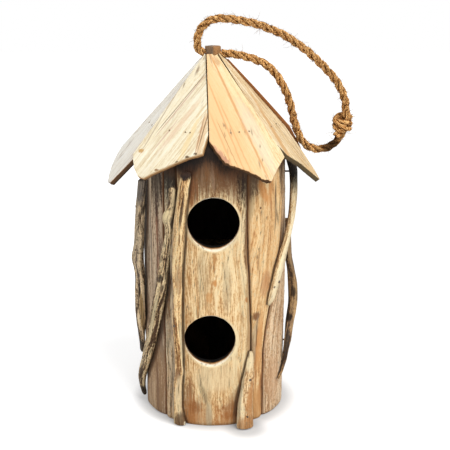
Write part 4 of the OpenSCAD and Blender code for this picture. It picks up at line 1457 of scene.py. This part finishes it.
@dataclass(frozen=True)
class Branches:
    """The thin branches that are nailed on outside the staves.

    ring_top: how far out the outermost corner of a node's ring is, as a share of its radius.
    side_shade, side_reach: how dark the painted shade on a branch's own sides is, and over how many
    radians that grows. eaves_shade, eaves_in: how dark the painted shade under the roof makes a
    branch, and how far in from it that is measured. stand_off: how far off a branch stops casting
    painted shade on the wall. end_share: what is left of its thickness at a worn end.
    """

    around: int = 40
    cell_along: float = 1.2
    thinnest: float = 0.6
    ring_top: float = math.sin(math.radians(72))
    back_reach: float = 1.1
    wave: float = 0.3
    end_share: float = 0.55
    eaves_shade: float = 0.7
    eaves_in: float = 6.0
    side_shade: float = 0.6
    side_reach: float = 0.8
    stand_off: float = 7.0

    def stations(self, node: str) -> list[Station]:
        """Reads a branch's rings, which are level, from its node."""
        rings: dict[int, set[tuple[float, ...]]] = {}
        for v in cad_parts[node].data.vertices:
            point = tuple(round(c / MM, 2) for c in v.co)
            rings.setdefault(round(point[2] * 10), set()).add(point)
        found = []
        for level in sorted(rings):
            points = [Vector(p) for p in sorted(rings[level])]
            if len(points) < 8:
                continue
            middle = sum(points, Vector()) / len(points)
            side, out = self._ways(middle)
            wide = max(abs((p - middle).dot(side)) for p in points)
            deep = max(abs((p - middle).dot(out)) for p in points) / self.ring_top
            found.append(Station(middle, wide, deep))
        return found

    def _ways(self, middle: Vector) -> tuple[Vector, Vector]:
        """The sideways and outward directions at a ring."""
        out = Vector((middle.x, middle.y, 0)).normalized()
        return Vector((-out.y, out.x, 0)), out

    def _between(self, stations: list[Station], z: float) -> Station:
        """A smooth ring at any height."""
        k = max(i for i, s in enumerate(stations[:-1]) if s.middle.z <= z + 1e-9 or i == 0)
        rows = [stations[min(max(k + i, 0), len(stations) - 1)] for i in (-1, 0, 1, 2)]
        low, high = rows[1].middle.z, rows[2].middle.z
        t = (z - low) / (high - low)
        weights = (-0.5 * t + t * t - 0.5 * t ** 3, 1 - 2.5 * t * t + 1.5 * t ** 3,
                   0.5 * t + 2 * t * t - 1.5 * t ** 3, 0.5 * (t ** 3 - t * t))
        middle = sum((s.middle * w for s, w in zip(rows, weights)), Vector())
        middle.z = z
        wide = max(self.thinnest, sum(s.wide * w for s, w in zip(rows, weights)))
        deep = max(self.thinnest, sum(s.deep * w for s, w in zip(rows, weights)))
        return Station(middle, wide, deep)

    def _worn(self, gap: float, reach: float) -> float:
        """How much of a branch's thickness is left at a distance from an end that is worn round."""
        return min(1.0, math.sqrt(max(0.0, gap / reach)) * (1 - self.end_share) + self.end_share)

    def branch(self, plan: BranchPlan) -> Shape:
        """Makes one branch."""
        stations = self.stations(plan.node)
        low, high = stations[0].middle.z, stations[-1].middle.z

        def lay(x: float, y: float) -> tuple[Vector, Vector, float]:
            """Gives a point of the bark."""
            z = mix(low, high, (y + 1) / 2)
            ring = self._between(stations, z)
            side, out = self._ways(ring.middle)
            turn = math.pi * x
            arc = turn * (ring.wide + ring.deep) / 2
            lift, groove = plan.relief.height(arc, z)
            shown = ease((math.pi - abs(turn)) / self.back_reach)
            wave = ripple(math.cos(turn) * 1.4 + z / 11, math.sin(turn) * 1.4, plan.relief.seed + 40)
            lift = shown * (lift + self.wave * wave)
            worn = self._worn(z - low, plan.worn_ends[0]) * self._worn(high - z, plan.worn_ends[1])
            point = ring.middle + side * (ring.wide + lift) * math.sin(turn) * worn
            point += out * (ring.deep + lift) * math.cos(turn) * worn
            # Painted shade on the sides that turn towards the wall, held with the cracks in the groove
            # attribute
            side_shade = self.side_shade * ease((abs(turn) - plan.shade_turn) / self.side_reach)
            return point, Vector((arc, 0.0, z)), max(groove * shown, side_shade)

        shape = Shape()
        shape.lay_tube(self.around, round((high - low) / self.cell_along), lay)
        return shape

    def shade_beside_branches(self) -> Callable[[Vector], float]:
        """Gives how close a point of the wall is to a branch, from 0 away from it to 1 beside it, as the
        painted shade there.
        """
        runs = [(plan.shade_widths, self.stations(plan.node)) for plan in BRANCHES]
        levels: dict[int, list[tuple[tuple[float, float], Station]]] = {}

        def at_level(z: float) -> list[tuple[tuple[float, float], Station]]:
            """The branches that pass a height, each as its dirt and its ring there."""
            level = round(z)
            if level not in levels:
                levels[level] = [(shade_widths, self._between(run, level)) for shade_widths, run in runs
                                 if run[0].middle.z <= level <= run[-1].middle.z]
            return levels[level]

        def amount(point: Vector) -> float:
            """How close a point is to the closest branch."""
            bearing, r = math.atan2(point.x, -point.y), math.hypot(point.x, point.y)
            most = 0.0
            for shade_widths, ring in at_level(point.z):
                turned = bearing - math.atan2(ring.middle.x, -ring.middle.y)
                turned = (turned + math.pi) % (2 * math.pi) - math.pi
                near = 1 - ease((abs(turned) * r - ring.wide) / shade_widths[turned > 0])
                gap = math.hypot(ring.middle.x, ring.middle.y) - ring.deep - r
                most = max(most, near * (1 - ease(gap / self.stand_off)))
            return most
        return amount

    def build(self, wall: Wall) -> None:
        """Makes and dresses every branch."""
        for plan in BRANCHES:
            shape = self.branch(plan)
            # Painted shade under the roof, measured a little in from the branch
            shape.paint_shade_and_soil(lambda point: self.eaves_shade * wall.under_eaves(
                point - self._ways(point)[1] * self.eaves_in))
            shape.place_wood(plan.node, plan.wood, plan.slot)


# Roof


@dataclass(frozen=True)
class BoardPlan:
    """The looks of one roof board: how far its free edge is torn, and how far its middle is bowed up."""

    wood: Wood
    torn: float = 0.35
    warp: float = 0.0


# Tones of the boards' edges, from the worn corner to the underside, which is darkened as painted shade
PALE_EDGE = ((0.6, "#e8c596"), (2.4, "#a87c4f"), (4.6, "#21160d"))
SAWN_EDGE = ((0.55, "#c9a77c"), (0.95, "#8b6743"), (4.6, "#5d442e"))
DARK_EDGE = ((0.45, "#9a714b"), (0.8, "#55391f"), (4.6, "#2c1d11"))
OLIVE_EDGE = ((0.5, "#716042"), (0.9, "#605035"), (4.6, "#463922"))


def planed(light: str, body: str, dark: str, seed: float, turn: float, depths: tuple,
           *stains: Stain, greyed: float = 0.15, grey: str = "#cfc6b4") -> Wood:
    """The smooth pale wood of a roof board, with fine streaks."""
    return Wood(light, body, dark, 1.8, 130.0, 0.5, 0.4, 0.1, 0.16, grey, greyed, turn, 3.0, "#7d5f44",
                0.6, 0.3, seed, depths, stains)


BOARDS = (
    BoardPlan(
        planed("#fffdf6", "#fbf5e8", "#dccfbb", 41, 8, DARK_EDGE, Stain(20, 92, 12, 22, "#d9bda6", 0.4),
            greyed=0.3, grey="#d5cec4")),
    BoardPlan(
        planed("#f7efd8", "#ecdfbf", "#d3bb94", 42, 22, PALE_EDGE,
            Stain(-20, 66, 0.7, 40, "#b9a58a", 0.7, lean=-0.22, ragged=0.2),
            Stain(-7.5, 56, 0.8, 34, "#c39f88", 0.7, lean=-0.42, ragged=0.3),
            Stain(-3, 74, 2.6, 26, "#e2bf9f", 0.5, lean=-0.4),
            Stain(-12, 84, 1, 16, "#cda990", 0.6, lean=-0.42, ragged=0.3),
            Stain(9, 84, 2.4, 22, "#eed39b", 0.6, lean=-0.1),
            Stain(18.6, 80, 3.4, 22, "#e0bb8e", 0.7, lean=0.1, ragged=0.9),
            Stain(16.6, 80, 0.7, 18, "#b58a69", 0.8, lean=0.1, ragged=0.3),
            Stain(2, 30, 1, 7, "#c7b493", 0.7, lean=-0.3),
            Stain(-28, 99, 2.6, 2, "#c1934f", 0.85, ragged=0.9),
            Stain(6, 105, 1.5, 1.2, "#5e4326", 0.9, ragged=0.9),
            Stain(13, 100, 2.4, 1.3, "#5e4326", 0.9, ragged=1.2),
            Stain(18.5, 96.5, 1.6, 1.2, "#4e371f", 0.9, ragged=1.2),
            Stain(-9, 113, 1.8, 1.2, "#8b6235", 0.9, ragged=0.9),
            Stain(-2.4, 40.7, 0.5, 15, "#7d6248", 0.8, lean=-0.45, ragged=0.2),
            Stain(-13.8, 66.5, 0.5, 17, "#7d6248", 0.8, lean=-0.436, ragged=0.2),
            Stain(-21.3, 61.4, 0.45, 24, "#8a6e52", 0.8, lean=-0.27, ragged=0.2),
            Stain(18.4, 77, 0.5, 19, "#7d5a3e", 0.8, lean=0.067, ragged=0.2)), 0.6),
    BoardPlan(
        planed("#f6e4bc", "#ecd2a2", "#cfa674", 43, -14, DARK_EDGE,
            Stain(-35, 62, 46, 300, "#ecbf89", 0.85, lean=0.16, ragged=0.12),
            Stain(3.9, 62, 1.1, 68, "#cf9760", 0.8, lean=0.17, ragged=0.35),
            Stain(-8, 74, 0.8, 50, "#d8a069", 0.7, lean=0.12, ragged=0.4),
            Stain(-3, 84, 0.7, 36, "#d59c64", 0.6, lean=0.16, ragged=0.4),
            Stain(-15, 84, 0.8, 30, "#d9a26c", 0.6, lean=0.14, ragged=0.4),
            Stain(-1, 17, 2, 6, "#b98a5b", 0.6, lean=0.2, ragged=1.4),
            Stain(-11, 88, 0.5, 22, "#b07a4a", 0.6, lean=0.167, ragged=0.3),
            Stain(14, 84, 6, 34, "#dfd4bc", 0.5, lean=0.2, ragged=1.2),
            Stain(-20, 97, 4.2, 10, "#b8806a", 0.75, lean=0.5, ragged=1.2)), 1),
    BoardPlan(
        planed("#f6e6c4", "#dcc092", "#b0885a", 44, -6, OLIVE_EDGE,
            Stain(-9, 90, 3.4, 46, "#d0a26c", 0.85, lean=-0.26, ragged=0.4),
            Stain(14.8, 100, 0.9, 26, "#b59c7c", 0.8, lean=-0.2, ragged=0.2),
            Stain(0, 124, 16, 5, "#dcb987", 0.6, lean=1))),
    BoardPlan(
        planed("#c48f58", "#a06a38", "#6a4222", 45, 6,
            # Its edge too darkens to painted shade towards the underside
            ((0.4, "#9a6635"), (0.7, "#8a5529"), (4.6, "#4d2f18"))), warp=1.5),
    BoardPlan(planed("#efdfbe", "#dfc79d", "#b59262", 46, -6, SAWN_EDGE, greyed=0.3)),
    BoardPlan(planed("#e8dcc6", "#d2bf9f", "#a48c69", 47, 10, DARK_EDGE, greyed=0.5)),
    BoardPlan(planed("#f0dfba", "#e0c494", "#b58e5c", 48, -10, SAWN_EDGE, greyed=0.3)),
)


@dataclass(frozen=True)
class Roof:
    """Eight boards round the king post, like petals.

    free_from, free_over: from where down a board its edge is torn, and over what length that
    grows. wear: how much the upper face is worn down. highest: how far its relief may rise.
    face_depth: what lies deeper is the underside, which has under_share of that relief.
    """

    cell_across: float = 1.1
    cell_along: float = 2.2
    edge_round: float = 0.4
    free_from: float = 84.0
    free_over: float = 8.0
    wear: float = 0.35
    highest: float = 0.3
    face_depth: float = 1.0
    under_share: float = 0.5

    def board(self, n: int) -> Shape:
        """Makes board n from its node, with its relief and its torn edge."""
        plan = BOARDS[n]
        relief = Relief(Tooling.PLANED, plan.wood.seed)
        out = at(BOARD_BEARINGS[n], 1.0, 0.0)
        slope = math.radians(ROOF_SLOPE)
        side = Vector((-out.y, out.x, 0.0))
        down = out * math.cos(slope) - Vector((0, 0, math.sin(slope)))
        up = out * math.sin(slope) + Vector((0, 0, math.cos(slope)))
        shape = Shape()
        shape.take(f"roof_board_{n + 1}")
        face = max(v.co.dot(up) for v in shape.bm.verts)
        apex = Vector((0, 0, face / math.cos(slope)))
        shape.soften(self.edge_round, 35.0, 1)
        places = [((v.co - apex).dot(side), (v.co - apex).dot(down)) for v in shape.bm.verts]
        across, along = [p[0] for p in places], [p[1] for p in places]
        shape.slice(apex, down, min(along), max(along), self.cell_along)
        shape.slice(apex, side, min(across), max(across), self.cell_across)
        for v in shape.bm.verts:
            u, d, depth = ((v.co - apex).dot(w) for w in (side, down, -up))
            lift, groove = relief.height(u, d)
            free = ease((d - self.free_from) / self.free_over) * plan.torn
            tear = ripple(u / 2.6, d / 2.6, depth / 2.4 + n) + 0.5 * ripple(u / 1.3, d / 4, depth + n)
            tear *= free
            rise = -self.wear + min(lift, self.highest)
            if depth > self.face_depth:
                rise = self.under_share * min(lift, self.highest)
                groove = 0.0
            rise += plan.warp * math.sin(math.pi * (d - min(along)) / (max(along) - min(along)))
            v.co += up * rise + down * tear - side * 0.5 * tear
            v[shape.grain] = Vector((u, depth, d))
            v[shape.groove] = groove
        return shape

    def normal(self, bearing: float) -> Vector:
        """The upward direction square to the board at a bearing."""
        board = max(BOARD_BEARINGS, key=lambda b: math.cos(math.radians(bearing - b)))
        slope = math.radians(ROOF_SLOPE)
        return at(board, math.sin(slope), math.cos(slope))

    def build(self) -> None:
        """Makes and dresses the eight boards."""
        for n, plan in enumerate(BOARDS):
            self.board(n).place_wood(f"roof_board_{n + 1}", plan.wood, "roof_board", False)


# King post, discs and nails


@dataclass(frozen=True)
class Core:
    """The king post, the three discs and the nails.

    post_half: distance of the post's faces from its middle. post_wear: share of the relief that wears
    it, once that is lowered by post_skin. post_groove: how dark its cracks are. head_share, head_sink:
    how thick the roof nails look, as a share of their node's thickness, and how far they are sunk.
    """

    post_round: float = 0.6
    post_cell: float = 1.3
    post_half: float = 6.5
    post_wear: float = 0.8
    post_skin: float = 0.3
    post_groove: float = 0.6
    head_share: float = 0.55
    head_sink: float = 0.3

    def post(self) -> None:
        """Makes the king post from its node, with worn corners."""
        wood = Wood("#a47c52", "#7d644b", "#4a3a2c", 1.6, 40.0, 1.1, 0.9, 0.6, 0.7, "#8a8074", 0.35,
                    seed=61.0, relief=0.6, stains=(Stain(3.5, 290.0, 3.5, 30.0, "#a9794a", 0.8),
                                                   Stain(-3.0, 292.0, 3.0, 20.0, "#6f5b49", 0.7)))
        shape = Shape()
        shape.take("king_post")
        shape.soften(self.post_round, 35.0)
        low, high = (corner.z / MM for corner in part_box("king_post"))
        shape.slice(Vector(), Vector((0, 0, 1)), low, high, self.post_cell)
        relief = Relief(Tooling.SPLIT, 61.0)
        for v in shape.bm.verts:
            out = Vector((v.co.x, v.co.y, 0.0)).normalized()
            turn = math.atan2(out.x, -out.y)
            lift, groove = relief.height(turn * self.post_half, v.co.z)
            v[shape.grain] = v.co.copy()
            v[shape.groove] = groove * self.post_groove
            v.co += out * min(lift - self.post_skin, 0.0) * self.post_wear
        shape.place_wood("king_post", wood, "post_wood", False)

    def roof_nails(self, roof: Roof) -> None:
        """Makes the roof nails as thin as they look, with their heads flush with the worn boards."""
        shape = Shape()
        shape.take("roof_nails")
        left = set(shape.bm.verts)
        while left:
            nail, edge = set(), [left.pop()]
            while edge:
                v = edge.pop()
                nail.add(v)
                fresh = {e.other_vert(v) for e in v.link_edges} & left
                left -= fresh
                edge.extend(fresh)
            middle = sum((v.co for v in nail), Vector()) / len(nail)
            up = roof.normal(bearing_of(middle))
            for v in nail:
                v.co = v.co.lerp(middle + up * (v.co - middle).dot(up), 1 - self.head_share)
                v.co -= up * self.head_sink
        filled = OldSteel("#9a8768", "#6e5638", 0.0).build("nail_filled")
        shape.place("roof_nails_sunk", filled, "house", "nail_steel", "roof_nails")

    def dress(self) -> None:
        """Gives the discs and nails their materials."""
        disc = Wood("#c9a878", "#a98860", "#75593c", 3.0, 60.0, 0.9, 0.7, 0.6, 0.6, seed=71.0,
                    source=Source.OBJECT).build("disc_wood")
        steel = OldSteel().build("nail_steel")
        for slot, material, *nodes in (("disc_wood", disc, "floor_disc", "shelf_disc", "top_disc"),
                                       ("nail_steel", steel, "stave_nails", "branch_nails")):
            for node in nodes:
                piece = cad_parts[node]
                piece.data.materials.clear()
                piece.data.materials.append(material)
                LOG.info("%s: dressed", node)


def main() -> None:
    """Builds the studio and the house, in the order that they are checked."""
    logging.basicConfig(level=logging.INFO, format="%(name)s: %(message)s")
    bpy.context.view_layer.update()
    studio = Studio()
    studio.camera()
    Rope().build()
    wall = Wall()
    branches = Branches()
    wall.build(branches.shade_beside_branches())
    branches.build(wall)
    roof = Roof()
    roof.build()
    core = Core()
    core.post()
    core.roof_nails(roof)
    core.dress()
    studio.light()
    studio.floor()


if __name__ == "__main__":
    main()
